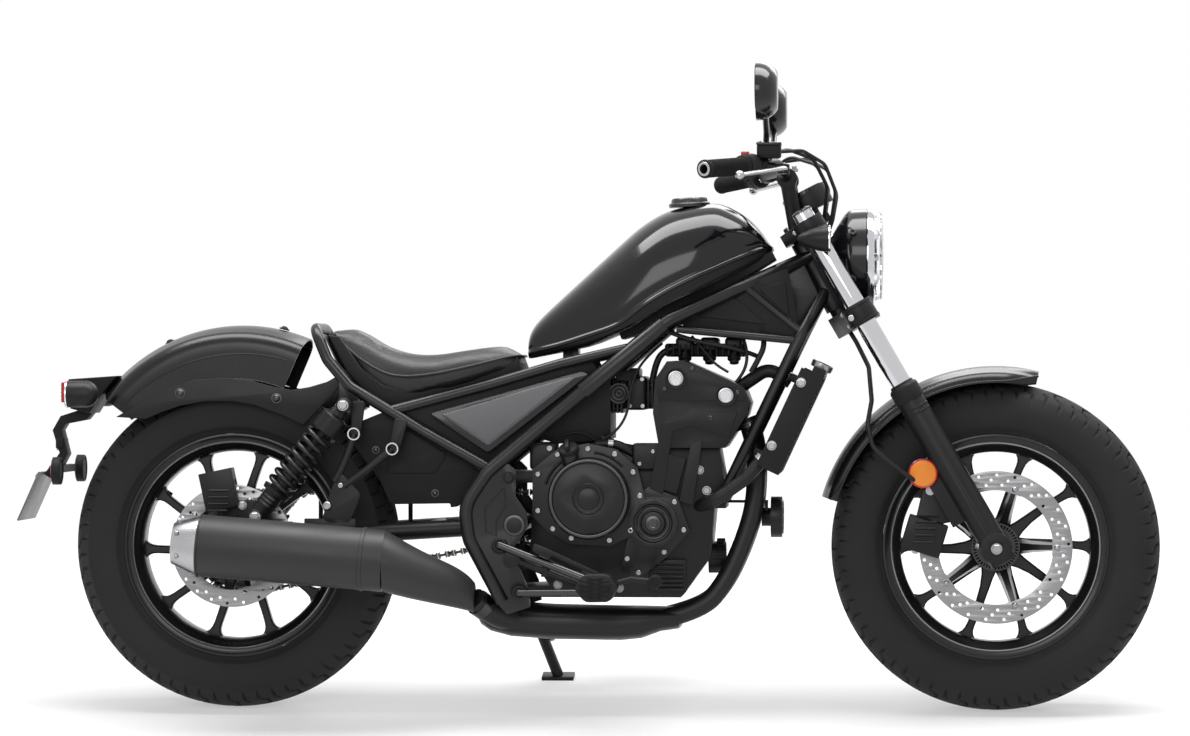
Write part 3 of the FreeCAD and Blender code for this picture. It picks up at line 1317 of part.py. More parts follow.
shaped("fender_rails", fender_rails())


def fender_clearance():
    reach = across * size("2 * rear_fender_half")
    return rod(guard_centre - reach, guard_centre + reach, size("rear_fender_radius + seat_gap"))


def tail_light():
    housing = plate(outlined("tail_light"), -size("tail_half"), size("tail_half"))
    return merged([housing, brick("tail_lens")]).cut(fender_clearance())


tail_shape = tail_light()
shaped("tail_light", tail_shape)


def rear_signal(side):
    centre = spot("rear_signal", side)
    root = spot("signal_root", side)
    body = bullet(centre, -1, size("signal_radius"), size("signal_long + 2"))
    stem = rod(root, root + across * side * size("rear_signal_y - signal_root_y"),
               size("signal_stem"))
    return merged([body, stem])


signal_shape = Part.makeCompound(mirrored(rear_signal))
shaped("rear_signals", signal_shape)


def plate_bracket():
    arm = plate(outlined("plate_arm"), -22, 22)
    pieces = [arm, brick("reflector_bar")]
    for side in (1, -1):
        face = spot("reflector", side)
        pieces.append(rod(face, face + ahead * 14, size("reflector_radius")))
    board = brick("plate_board", True)
    board.Placement = Placement(spot("board"), Rotation(across, size("board_tilt")))
    pieces.append(board)
    return merged(pieces).cut(tail_shape)


shaped("plate_bracket", plate_bracket())


def foot_control(side):
    """Peg, its arm off the pivot plate and the pedal ahead of it."""
    plate_face = size("plate_inner + plate_thick + seat_gap")
    outward = across * side
    boss = spot("peg_root") + outward * plate_face
    long = size("peg_boss_long")
    arm = size("peg_arm")
    elbow = spot("peg_elbow") + outward * (plate_face + arm + 0.5)
    inner, peg = spot("peg_inner", side), spot("peg", side)
    knee, toe = spot("pedal_knee", side), spot("pedal_toe_in", side)
    hinge = inner + outward * 18
    rise = Vector(0, 0, arm + 1.5)
    return merged([rod(boss, boss + outward * long, size("peg_boss")),
                   rod(boss + outward * long / 2, elbow, arm + 0.5),
                   rod(elbow - rise, elbow + rise, arm + 2), rod(elbow, inner, arm),
                   rod(inner - outward * 14, peg, size("peg_radius")),
                   rod(hinge, knee, size("pedal_rod")),
                   rod(knee - ahead * 4, toe, size("pedal_rod") - 0.5),
                   rod(toe - outward * 4, toe + outward * size("pedal_toe_long"),
                       size("pedal_toe"))])


shaped("foot_controls", Part.makeCompound(mirrored(foot_control)))


def lean_frame():
    return Placement(Vector(), Rotation(Vector(1, 0, 0), -size("lean")))


def side_stand():
    pivot = spot("stand_pivot")
    foot = Vector(*(size("stand_foot_" + letter) for letter in "xyz"))
    boss_reach = stand_hinge * size("stand_boss_half")
    boss = rod(pivot - boss_reach, pivot + boss_reach, size("stand_boss"))
    leg = rod(pivot, foot, size("stand_tube"))
    drop = size("crown_radius") * (1 - math.cos(math.radians(size("lean"))))
    level = lean_frame().multVec(foot)
    wide, long = size("pad_wide"), size("pad_long")
    pad_shape = Part.makeBox(long, wide, size("pad_thick"),
                             Vector(level.x - long / 2, level.y - 20, -drop))
    long = size("ankle_long")
    block = Part.makeBox(long, size("ankle_wide"), level.z + drop,
                         Vector(level.x - long / 2, level.y - 9, -drop))
    foot_shape = pad_shape.fuse(block)
    foot_shape.Placement = lean_frame().inverse()
    below = Part.makeBox(400, 400, 100, Vector(level.x - 200, level.y - 200, -drop - 100))
    below.Placement = lean_frame().inverse()
    reach = stand_hinge * size("stand_stub_long")
    hole = rod(pivot - reach, pivot + reach, size("stand_pin + running_gap"))
    return merged([boss, leg, foot_shape]).cut([hole, below])


shaped("side_stand", side_stand())

# stand the machine on its stand, centred on its box
doc.recompute()
lean = lean_frame()
box_all = FreeCAD.BoundBox()
for made in nodes:
    shape = made.Shape.copy()
    shape.Placement = lean.multiply(shape.Placement)
    box_all.add(shape.optimalBoundingBox(False, False))
shift = Vector(-box_all.Center.x, -box_all.Center.y, -box_all.ZMin)
stand = Placement(shift, Rotation()).multiply(lean)
for made in nodes:
    made.Placement = stand.multiply(made.Placement)
doc.recompute()

for made in doc.Objects:
    if {"Invalid", "Error"} & set(made.State):
        raise RuntimeError(f"{made.Label} failed: {made.State}")
for made in nodes:
    if made.Shape.isNull() or not made.Shape.isValid():
        raise RuntimeError(f"{made.Label} has no valid shape")

os.makedirs("parts", exist_ok=True)
for made in nodes:
    made.Shape.exportStep(f"parts/{made.Label}.step")

print("overall", [round(side) for side in (box_all.XLength, box_all.YLength, box_all.ZLength)])
marks = {"front axle": front_axle.Base, "rear axle": rear_axle.Base,
         "head low": steering(size("head_low")), "head high": steering(size("head_high")),
         "stand pivot": spot("stand_pivot")}
for name, point in marks.items():
    print(name, [round(number, 3) for number in stand.multVec(point)])
print("shift", shift, "nodes", len(nodes))
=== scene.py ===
import json
import math
import bpy
import bmesh
from mathutils import Matrix, Vector


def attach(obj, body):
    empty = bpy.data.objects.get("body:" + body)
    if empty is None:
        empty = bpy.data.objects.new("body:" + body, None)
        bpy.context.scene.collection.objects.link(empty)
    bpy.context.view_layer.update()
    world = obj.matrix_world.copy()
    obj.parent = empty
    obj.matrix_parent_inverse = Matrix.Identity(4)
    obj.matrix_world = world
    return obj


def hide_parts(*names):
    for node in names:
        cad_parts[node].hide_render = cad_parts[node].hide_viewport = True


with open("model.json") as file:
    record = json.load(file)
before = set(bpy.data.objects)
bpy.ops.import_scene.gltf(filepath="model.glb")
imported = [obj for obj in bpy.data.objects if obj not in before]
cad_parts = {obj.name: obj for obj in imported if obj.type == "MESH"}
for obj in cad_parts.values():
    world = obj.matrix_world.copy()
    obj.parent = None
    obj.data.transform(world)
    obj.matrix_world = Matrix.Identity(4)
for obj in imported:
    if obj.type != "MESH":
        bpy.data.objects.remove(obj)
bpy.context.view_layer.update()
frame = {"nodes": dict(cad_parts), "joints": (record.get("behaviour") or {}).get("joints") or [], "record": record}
allNodes = frame["nodes"]

# Pieces are shaped in the machine's own millimetres: X forward from the rear axle, Y to the
# rider's left, Z up from the ground, upright. standMatrix leans them on the side stand.
machine = {"axleHeight": 320, "wheelbase": 1490, "forkAngle": 30, "rake": 28}
joints = {joint["name"]: joint for joint in frame["joints"]}
rearAxle = Vector(joints["rear_wheel_spin"]["pos_m"])
leanAngle = math.asin(-joints["rear_wheel_spin"]["axis"][2])
standMatrix = (Matrix.Translation(rearAxle) @ Matrix.Rotation(-leanAngle, 4, "X") @ Matrix.Scale(0.001, 4)
    @ Matrix.Translation((0, 0, -machine["axleHeight"])))
frontHub = Vector((machine["wheelbase"], 0, machine["axleHeight"]))
rearHub = Vector((0, 0, machine["axleHeight"]))
forkMatrix = Matrix.Translation(frontHub) @ Matrix.Rotation(-math.radians(machine["forkAngle"]), 4, "Y")
print("frame loaded:", len(allNodes), "nodes")


# shaping helpers
def placed(name, data):
    # a new object in the scene
    made = bpy.data.objects.new(name, data)
    bpy.context.scene.collection.objects.link(made)
    return made


def makePiece(name, points, faces):
    mesh = bpy.data.meshes.new(name)
    mesh.from_pydata([tuple(p) for p in points], [], faces)
    mesh.update()
    return placed(name, mesh)


def bake(piece):
    # turns the evaluated piece into a plain mesh
    bpy.context.view_layer.update()
    graph = bpy.context.evaluated_depsgraph_get()
    mesh = bpy.data.meshes.new_from_object(piece.evaluated_get(graph))
    if piece.type == "MESH":
        piece.modifiers.clear()
        piece.data = mesh
        return piece
    name = piece.name
    bpy.data.objects.remove(piece)
    return placed(name, mesh)


def cleanNormals(piece, distance=0.01):
    edit = bmesh.new()
    edit.from_mesh(piece.data)
    bmesh.ops.remove_doubles(edit, verts=edit.verts, dist=distance)
    bmesh.ops.recalc_face_normals(edit, faces=edit.faces)
    edit.to_mesh(piece.data)
    edit.free()
    return piece


def bevel(piece, width, segments=2, limit=35):
    modifier = piece.modifiers.new("edges", "BEVEL")
    modifier.width = width
    modifier.segments = segments
    modifier.limit_method = "ANGLE"
    modifier.angle_limit = math.radians(limit)
    return bake(piece)


def subdivide(piece):
    modifier = piece.modifiers.new("smooth", "SUBSURF")
    modifier.levels = 1
    modifier.render_levels = 1
    return bake(piece)


def join(name, pieces):
    # one piece from several, each keeping its material
    edit = bmesh.new()
    materials = []
    for piece in pieces:
        first = len(edit.faces)
        edit.from_mesh(piece.data)
        edit.faces.ensure_lookup_table()
        slots = list(piece.data.materials) or [None]
        for face in edit.faces[first:]:
            material = slots[min(face.material_index, len(slots) - 1)]
            if material not in materials:
                materials.append(material)
            face.material_index = materials.index(material)
    mesh = bpy.data.meshes.new(name)
    edit.to_mesh(mesh)
    edit.free()
    for material in materials:
        mesh.materials.append(material)
    for piece in pieces:
        bpy.data.objects.remove(piece)
    return placed(name, mesh)


def move(piece, matrix):
    piece.data.transform(matrix)
    if matrix.determinant() < 0:
        piece.data.flip_normals()
    return piece


def copyOf(piece, matrix):
    other = placed(piece.name, piece.data.copy())
    return move(other, matrix)


def bothSides(piece):
    # the piece and its mirror image across the machine
    return [piece, copyOf(piece, Matrix.Scale(-1, 4, (0, 1, 0)))]


def paint(piece, material):
    piece.data.materials.clear()
    piece.data.materials.append(material)
    return piece


def add(parts, material, *pieces):
    parts += [paint(piece, material) for piece in pieces]


def turnTo(along, base=(0, 0, 0)):
    # stands what points up along a direction, at a place
    turn = Vector((0, 0, 1)).rotation_difference(Vector(along))
    return Matrix.Translation(base) @ turn.to_matrix().to_4x4()


def spin(degrees, axis="Y"):
    return Matrix.Rotation(math.radians(degrees), 4, axis)


def polar(radius, degrees):
    angle = math.radians(degrees)
    return radius * math.cos(angle), radius * math.sin(angle)


def hoop(first, last, inner, outer):
    # the profile of a plain ring
    return [(first, inner), (first, outer), (last, outer), (last, inner), (first, inner)]


def softEdges(piece, limit=32):
    edit = bmesh.new()
    edit.from_mesh(piece.data)
    for face in edit.faces:
        face.smooth = True
    for edge in edit.edges:
        sharp = len(edge.link_faces) == 2 and edge.calc_face_angle(0) > math.radians(limit)
        edge.smooth = not sharp
    edit.to_mesh(piece.data)
    edit.free()


def fit(piece, body, replaced=(), limit=32):
    # stands the finished piece in the frame, on its body
    softEdges(piece, limit)
    piece.data.transform(standMatrix)
    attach(piece, body)
    if replaced:
        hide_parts(*replaced)
    return piece


def turned(name, profile, base=(0, 0, 0), along=(0, 0, 1), steps=64):
    # profile: (distance along, radius) from end to end; a closed one repeats its first pair
    closed = profile[0] == profile[-1]
    rings = profile[:-1] if closed else profile
    matrix = turnTo(along, base)
    points, starts = [], []
    for distance, radius in rings:
        starts.append(len(points))
        count = 1 if radius < 1e-6 else steps
        for index in range(count):
            angle = math.tau * index / steps
            points.append(matrix @ Vector((radius * math.cos(angle), radius * math.sin(angle), distance)))
    faces = []
    pairs = list(zip(range(len(rings)), range(1, len(rings))))
    if closed:
        pairs.append((len(rings) - 1, 0))
    for low, high in pairs:
        for index in range(steps):
            after = (index + 1) % steps
            a = [starts[low] + index, starts[low] + after]
            b = [starts[high] + after, starts[high] + index]
            if rings[low][1] < 1e-6:
                a = [starts[low]]
            if rings[high][1] < 1e-6:
                b = [starts[high]]
            if len(a) + len(b) > 2:
                faces.append(a + b)
    if not closed:
        for place in (0, -1):
            if rings[place][1] >= 1e-6:
                faces.append([starts[place] + index for index in range(steps)])
    return cleanNormals(makePiece(name, points, faces))


def lofted(name, rings):
    # a skin over the rings, closed at both ends
    count = len(rings[0])
    points = [point for ring in rings for point in ring]
    faces = []
    for first in range(0, len(points) - count, count):
        for index in range(count):
            side = (index + 1) % count
            faces.append([first + index, first + side, first + count + side, first + count + index])
    faces.append(list(range(count)))
    faces.append(list(range(len(points) - count, len(points))))
    return cleanNormals(makePiece(name, points, faces))


def addSpline(curve, points, kind="POLY", closed=True):
    spline = curve.splines.new(kind)
    spline.points.add(len(points) - 1)
    for place, point in zip(spline.points, points):
        place.co = (*point, 1)
    spline.use_cyclic_u = closed
    return spline


def swept(name, points, radius, kind="NURBS", sides=4, smooth=10, closed=False):
    # a round tube along the points
    curve = bpy.data.curves.new(name, "CURVE")
    curve.dimensions = "3D"
    curve.bevel_depth = radius
    curve.bevel_resolution = sides
    curve.resolution_u = smooth
    curve.use_fill_caps = True
    spline = addSpline(curve, points, kind, closed)
    if kind == "NURBS":
        spline.use_endpoint_u = True
        spline.order_u = 3
    return cleanNormals(bake(placed(name, curve)))


def rod(name, start, finish, radius, steps=32):
    start = Vector(start)
    along = Vector(finish) - start
    return turned(name, [(0, 0), (0, radius), (along.length, radius), (along.length, 0)], start,
        along.normalized(), steps)


def rounded(corners, radius, steps=5):
    # the outline with each corner turned into an arc
    points = []
    count = len(corners)
    for index in range(count):
        corner = Vector(corners[index])
        back = Vector(corners[index - 1]) - corner
        ahead = Vector(corners[(index + 1) % count]) - corner
        size = radius[index] if isinstance(radius, (list, tuple)) else radius
        reach = min(size, 0.45 * back.length, 0.45 * ahead.length)
        first = corner + back.normalized() * reach
        last = corner + ahead.normalized() * reach
        for step in range(steps + 1):
            share = step / steps
            points.append(first * (1 - share) ** 2 + corner * 2 * share * (1 - share) + last * share ** 2)
    return [tuple(point) for point in points]


def plate(name, loops, low, high, edge=0.0, segments=2):
    # a flat piece in the XZ plane between two Y levels; loops after the first are holes
    curve = bpy.data.curves.new(name, "CURVE")
    curve.dimensions = "2D"
    curve.fill_mode = "BOTH"
    curve.extrude = abs(high - low) / 2 - edge
    curve.bevel_depth = edge
    curve.bevel_resolution = segments
    curve.offset = -edge
    for loop in loops:
        addSpline(curve, [(x, y, 0) for x, y in loop])
    piece = bake(placed(name, curve))
    return cleanNormals(move(piece, Matrix.Translation((0, (low + high) / 2, 0)) @ spin(90, "X")), 0.001)


def sidePlate(name, loops, side, near, far, *edge):
    # a plate on the left side or the right one
    return plate(name, loops, *sorted((side * near, side * far)), *edge)


def wholeRing(x, right):
    # the ring across the machine from its right half
    return [(x, y, z) for y, z in right] + [(x, -y, z) for y, z in right[-2:0:-1]]


def ovalLoop(x, y, z, half, tall, power=2 / 2.3, count=48):
    # a squarish oval across the machine; a smaller power is squarer
    points = []
    for index in range(count):
        angle = math.tau * index / count
        across, up = (math.copysign(abs(part) ** power, part)
            for part in (math.cos(angle), math.sin(angle)))
        points.append((x, y + half * across, z + tall * up))
    return points


def circle(x, y, radius, count=24):
    return [(x + radius * math.cos(math.tau * index / count),
        y + radius * math.sin(math.tau * index / count)) for index in range(count)]


def block(name, low, high, edge=1.5, segments=2):
    corners = [(x, y, z) for z in (low[2], high[2]) for y in (low[1], high[1]) for x in (low[0], high[0])]
    faces = [(0, 2, 3, 1), (4, 5, 7, 6), (0, 1, 5, 4), (2, 6, 7, 3), (0, 4, 6, 2), (1, 3, 7, 5)]
    return bevel(makePiece(name, corners, faces), edge, segments)


def smoothLine(points, count):
    # evenly shared points on a Catmull-Rom line through the given ones
    made = []
    spans = len(points) - 1
    for index in range(count):
        place = spans * index / (count - 1)
        span = min(int(place), spans - 1)
        t = place - span
        near = [Vector(points[max(0, min(spans, span + step))]) for step in (-1, 0, 1, 2)]
        made.append(0.5 * (2 * near[1] + (near[2] - near[0]) * t
            + (2 * near[0] - 5 * near[1] + 4 * near[2] - near[3]) * t ** 2
            + (3 * near[1] - near[0] - 3 * near[2] + near[3]) * t ** 3))
    return made


# geometry node trees
def addNode(tree, kind, inputs=None, **values):
    # inputs: what each socket holds, or the output that feeds it
    made = tree.nodes.new(kind)
    for name, value in values.items():
        setattr(made, name, value)
    for socket, value in (inputs or {}).items():
        if isinstance(value, bpy.types.NodeSocket):
            tree.links.new(value, made.inputs[socket])
        else:
            made.inputs[socket].default_value = value
    return made


def newTree(name, inputs):
    tree = bpy.data.node_groups.new(name, "GeometryNodeTree")
    tree.interface.new_socket("Geometry", in_out="INPUT", socket_type="NodeSocketGeometry")
    for label, kind, value in inputs:
        socket = tree.interface.new_socket(label, in_out="INPUT", socket_type="NodeSocket" + kind)
        if value is not None:
            socket.default_value = value
    tree.interface.new_socket("Geometry", in_out="OUTPUT", socket_type="NodeSocketGeometry")
    return tree, tree.nodes.new("NodeGroupInput").outputs


def endTree(tree, given, geometry, mergeDistance=None):
    # every tree ends in plain geometry with its finish
    last = addNode(tree, "GeometryNodeRealizeInstances", {0: geometry})
    if mergeDistance:
        last = addNode(tree, "GeometryNodeMergeByDistance", {0: last.outputs[0], "Distance": mergeDistance})
    last = addNode(tree, "GeometryNodeSetMaterial", {0: last.outputs[0], "Material": given["Finish"]})
    addNode(tree, "NodeGroupOutput", {0: last.outputs[0]})
    return tree


def itemsOn(tree, given, points, **inputs):
    item = addNode(tree, "GeometryNodeObjectInfo", {"Object": given["Item"]}).outputs["Geometry"]
    return addNode(tree, "GeometryNodeInstanceOnPoints", {"Points": points, "Instance": item,
        **inputs}).outputs[0]


def reckon(tree, operation, first, second):
    return addNode(tree, "ShaderNodeMath", {0: first, 1: second}, operation=operation).outputs[0]


def aroundTree():
    # copies of an item turned about the Y axis
    tree, given = newTree("copiesAroundAxle", [("Item", "Object", None), ("Count", "Int", 10),
        ("Finish", "Material", None)])
    points = addNode(tree, "GeometryNodePoints", {"Count": given["Count"]}).outputs[0]
    share = reckon(tree, "DIVIDE", addNode(tree, "GeometryNodeInputIndex").outputs[0], given["Count"])
    turn = addNode(tree, "ShaderNodeCombineXYZ", {"Y": reckon(tree, "MULTIPLY", share, math.tau)})
    return endTree(tree, given, itemsOn(tree, given, points, Rotation=turn.outputs[0]), 0.02)


def fastenerTree():
    # an item at each point, standing along the point's own facing
    tree, given = newTree("fastenersOnPoints", [("Item", "Object", None), ("Finish", "Material", None)])
    facing, size = (addNode(tree, "GeometryNodeInputNamedAttribute", {"Name": name}, data_type=kind)
        for name, kind in (("facing", "FLOAT_VECTOR"), ("size", "FLOAT")))
    align = addNode(tree, "FunctionNodeAlignRotationToVector", {"Vector": facing.outputs[0]}, axis="Z")
    return endTree(tree, given, itemsOn(tree, given, given["Geometry"], Rotation=align.outputs[0],
        Scale=size.outputs[0]))


def rowTree():
    # copies of an item in a straight row
    tree, given = newTree("rowOfItems", [("Item", "Object", None), ("Count", "Int", 10),
        ("Step", "Vector", (1, 0, 0)), ("Finish", "Material", None)])
    line = addNode(tree, "GeometryNodeMeshLine", {"Count": given["Count"], "Offset": given["Step"]})
    return endTree(tree, given, itemsOn(tree, given, line.outputs[0]))


def pathTree():
    # copies of an item along a curve, turned with it
    tree, given = newTree("itemsAlongPath", [("Item", "Object", None), ("Count", "Int", 10),
        ("First", "Int", 0), ("Every", "Int", 1), ("Finish", "Material", None)])
    points = addNode(tree, "GeometryNodeCurveToPoints", {"Curve": given["Geometry"],
        "Count": given["Count"]}, mode="COUNT").outputs
    shifted = reckon(tree, "SUBTRACT", addNode(tree, "GeometryNodeInputIndex").outputs[0], given["First"])
    wrapped = reckon(tree, "FLOORED_MODULO", shifted, given["Every"])
    chosen = addNode(tree, "FunctionNodeCompare", {0: wrapped, 1: 0.5}, data_type="FLOAT",
        operation="LESS_THAN")
    return endTree(tree, given, itemsOn(tree, given, points[0], Selection=chosen.outputs[0],
        Rotation=points["Rotation"]))


def coilTree():
    # a wound spring, standing along Z
    tree, given = newTree("woundSpring", [("Turns", "Float", 8.0), ("Radius", "Float", 20.0),
        ("Height", "Float", 100.0), ("Wire", "Float", 4.0), ("Finish", "Material", None)])
    spiral = addNode(tree, "GeometryNodeCurveSpiral", {"Resolution": 28, "Rotations": given["Turns"],
        "Start Radius": given["Radius"], "End Radius": given["Radius"], "Height": given["Height"]})
    section = addNode(tree, "GeometryNodeCurvePrimitiveCircle", {"Resolution": 12, "Radius": given["Wire"]},
        mode="RADIUS")
    sweep = addNode(tree, "GeometryNodeCurveToMesh", {"Curve": spiral.outputs[0],
        "Profile Curve": section.outputs[0], "Fill Caps": True})
    return endTree(tree, given, sweep.outputs[0])


def runTree(name, tree, settings, source=None):
    # the tree's result as a plain mesh; the source may be a curve
    host = placed(name, source or bpy.data.meshes.new(name))
    modifier = host.modifiers.new(tree.name, "NODES")
    modifier.node_group = tree
    for socket in tree.interface.items_tree:
        if socket.in_out == "INPUT" and socket.name in settings:
            modifier[socket.identifier] = settings[socket.name]
    made = bake(host)
    made.name = name
    return cleanNormals(made, 0.0005)


aroundAxle = aroundTree()
onPoints = fastenerTree()
inRow = rowTree()
alongPath = pathTree()
woundSpring = coilTree()


def around(name, item, count, material):
    made = runTree(name, aroundAxle, {"Item": item, "Count": count, "Finish": material})
    bpy.data.objects.remove(item)
    return made


def row(name, item, count, step, material):
    made = runTree(name, inRow, {"Item": item, "Count": count, "Step": step, "Finish": material})
    bpy.data.objects.remove(item)
    return made


def fasteners(name, item, places, material):
    # places: (point, facing, size)
    mesh = bpy.data.meshes.new(name)
    mesh.from_pydata([tuple(point) for point, facing, size in places], [], [])
    mesh.attributes.new("facing", "FLOAT_VECTOR", "POINT")
    mesh.attributes.new("size", "FLOAT", "POINT")
    facings = mesh.attributes["facing"].data
    sizes = mesh.attributes["size"].data
    for index, (point, facing, size) in enumerate(places):
        facings[index].vector = Vector(facing).normalized()
        sizes[index].value = size
    return runTree(name, onPoints, {"Item": item, "Finish": material}, mesh)


# finishes
def pattern(material, kind, inputs, **values):
    # a texture on the piece's own coordinates
    coords = addNode(material.node_tree, "ShaderNodeTexCoord").outputs["Object"]
    return addNode(material.node_tree, kind, {"Vector": coords, **inputs}, **values).outputs


def setSockets(material, **values):
    shader = material.node_tree.nodes["Principled BSDF"]
    for name, value in values.items():
        shader.inputs[name.replace("_", " ")].default_value = value
    return shader


def finish(name, colour, roughness, metallic=0.0, grain=0.0, bumps=0.0, spread=0.12, coat=0.0, tint=0.15,
        shine=0.5):
    # grain: bumps to a metre; spread: how far the roughness wanders; tint: how far the colour does;
    # shine: how strongly a bare surface mirrors its surroundings
    material = bpy.data.materials.new(name)
    material.use_nodes = True
    tree = material.node_tree
    shader = setSockets(material, Base_Color=(*colour, 1), Metallic=metallic, Specular_IOR_Level=shine,
        Coat_Weight=coat, Coat_Roughness=0.06)
    cloud = pattern(material, "ShaderNodeTexNoise", {"Scale": 14, "Detail": 6})["Fac"]
    rough = addNode(tree, "ShaderNodeMapRange", {"From Min": 0.3, "From Max": 0.7,
        "To Min": max(0.02, roughness - spread / 2), "To Max": roughness + spread / 2, "Value": cloud})
    tree.links.new(rough.outputs["Result"], shader.inputs["Roughness"])
    shade = addNode(tree, "ShaderNodeMix", {"A": (*[c * (1 - tint) for c in colour], 1),
        "B": (*[min(1, c * (1 + tint)) for c in colour], 1), "Factor": cloud}, data_type="RGBA")
    tree.links.new(shade.outputs["Result"], shader.inputs["Base Color"])
    if grain:
        addBump(material, pattern(material, "ShaderNodeTexNoise", {"Scale": grain, "Detail": 3})["Fac"],
            bumps)
    return material


def addBump(material, height, strength, distance=0.001):
    # each relief lies over the one before it
    tree = material.node_tree
    normal = tree.nodes["Principled BSDF"].inputs["Normal"]
    bump = addNode(tree, "ShaderNodeBump", {"Strength": strength, "Distance": distance, "Height": height})
    if normal.is_linked:
        tree.links.new(normal.links[0].from_socket, bump.inputs["Normal"])
    tree.links.new(bump.outputs["Normal"], normal)


def ringBrushed(name, centre, colour, roughness, rings):
    # metal turned about a wheel's axle: fine rings round it
    material = finish(name, colour, roughness, 1.0, spread=0.2)
    tree = material.node_tree
    place = pattern(material, "ShaderNodeMapping", {"Location": -(standMatrix @ centre)},
        vector_type="POINT")
    turn = addNode(tree, "ShaderNodeVectorRotate", {"Angle": leanAngle, "Vector": place["Vector"]},
        rotation_type="X_AXIS")
    wave = addNode(tree, "ShaderNodeTexWave", {"Scale": rings, "Distortion": 1.5, "Detail": 3,
        "Vector": turn.outputs["Vector"]}, wave_type="RINGS", rings_direction="Y")
    addBump(material, wave.outputs["Fac"], 0.12, 0.0004)
    return material


def leather(name, colour, cell):
    material = finish(name, colour, 0.44, spread=0.14, coat=0.05, shine=0.35)
    pores = pattern(material, "ShaderNodeTexVoronoi", {"Scale": cell}, feature="DISTANCE_TO_EDGE")
    addBump(material, pores["Distance"], 0.35, 0.0008)
    return material


def clearGlass(name, colour, roughness, opacity=0.25):
    material = finish(name, colour, roughness, spread=0.02, tint=0.02)
    setSockets(material, Transmission_Weight=1 - opacity, IOR=1.45)
    return material


def ribbed(material, scale, strength):
    # fine parallel ribs, as on reflectors and lamp lenses
    wave = pattern(material, "ShaderNodeTexWave", {"Scale": scale}, bands_direction="Z")
    addBump(material, wave["Fac"], strength, 0.0006)
    return material


tyreRubber = finish("tyreRubber", (0.021, 0.021, 0.022), 0.72, grain=900, bumps=0.12, tint=0.3, shine=0.14)
wheelBlack = finish("wheelBlack", (0.006, 0.006, 0.007), 0.3, grain=1400, bumps=0.03, coat=0.12, shine=0.3)
framePaint = finish("framePaint", (0.007, 0.007, 0.008), 0.32, grain=1500, bumps=0.04, shine=0.34)
satinBlack = finish("satinBlack", (0.007, 0.007, 0.008), 0.4, grain=1200, bumps=0.06, shine=0.22)
deepGloss = finish("deepGloss", (0.002, 0.002, 0.003), 0.14, spread=0.03, coat=0.3, tint=0.05, shine=0.24)
fenderPaint = finish("fenderPaint", (0.005, 0.005, 0.006), 0.27, spread=0.05, tint=0.05, shine=0.3)
coverPaint = finish("coverPaint", (0.085, 0.085, 0.09), 0.4, spread=0.06, tint=0.08, shine=0.4)
glossTrim = finish("glossTrim", (0.005, 0.005, 0.006), 0.2, spread=0.06, coat=0.25, shine=0.3)
mouldedBlack = finish("mouldedBlack", (0.009, 0.009, 0.01), 0.56, grain=700, bumps=0.18, shine=0.16)
castCoat = finish("castCoat", (0.006, 0.006, 0.007), 0.42, grain=520, bumps=0.2, tint=0.2, shine=0.22)
engineCover = finish("engineCover", (0.008, 0.008, 0.009), 0.32, grain=650, bumps=0.07, shine=0.26)
mufflerBlack = finish("mufflerBlack", (0.022, 0.022, 0.023), 0.46, grain=1800, bumps=0.1, shine=0.3)
pipeBlack = finish("pipeBlack", (0.009, 0.0085, 0.0085), 0.4, grain=400, bumps=0.08, tint=0.3, shine=0.26)
brushedAlloy = finish("brushedAlloy", (0.42, 0.42, 0.43), 0.3, 1.0, grain=1100, bumps=0.08)
chromeTube = finish("chromeTube", (0.56, 0.56, 0.58), 0.06, 1.0, spread=0.05, tint=0.03)
zincSteel = finish("zincSteel", (0.3, 0.3, 0.31), 0.3, 1.0, grain=600, bumps=0.08)
darkSteel = finish("darkSteel", (0.06, 0.06, 0.062), 0.28, 1.0, grain=600, bumps=0.08)
chainSteel = finish("chainSteel", (0.09, 0.085, 0.07), 0.36, 1.0, grain=900, bumps=0.12, tint=0.35)
springSteel = finish("springSteel", (0.008, 0.008, 0.009), 0.3, grain=900, bumps=0.06, coat=0.08, shine=0.3)
gripRubber = finish("gripRubber", (0.01, 0.01, 0.01), 0.72, grain=1600, bumps=0.2, shine=0.14)
hoseRubber = finish("hoseRubber", (0.008, 0.008, 0.009), 0.46, grain=900, bumps=0.1, shine=0.24)
seatLeather = leather("seatLeather", (0.012, 0.012, 0.013), 620)
redLens = clearGlass("redLens", (0.55, 0.012, 0.01), 0.14, 0.75)
amberLens = ribbed(clearGlass("amberLens", (0.95, 0.28, 0.01), 0.16, 0.8), 240, 0.5)
reflexRed = ribbed(clearGlass("reflexRed", (0.42, 0.01, 0.01), 0.2, 0.9), 240, 0.5)
smokedLens = clearGlass("smokedLens", (0.9, 0.9, 0.92), 0.05, 0.12)
lampGlass = clearGlass("lampGlass", (0.95, 0.96, 0.98), 0.02, 0.04)
mirrorGlass = finish("mirrorGlass", (0.85, 0.86, 0.88), 0.03, 1.0, spread=0.02, tint=0.02)
lampSilver = finish("lampSilver", (0.8, 0.8, 0.82), 0.16, 1.0, spread=0.06, tint=0.05)
plateGrey = finish("plateGrey", (0.1, 0.1, 0.105), 0.42, grain=500, bumps=0.05)
coreFins = ribbed(finish("coreFins", (0.02, 0.02, 0.02), 0.6), 300, 0.6)
redSwitch = finish("redSwitch", (0.5, 0.02, 0.015), 0.35, spread=0.1)
frontDiscSteel = ringBrushed("frontDiscSteel", frontHub, (0.26, 0.26, 0.265), 0.38, 260)
rearDiscSteel = ringBrushed("rearDiscSteel", rearHub, (0.26, 0.26, 0.265), 0.38, 260)
print("finishes made")


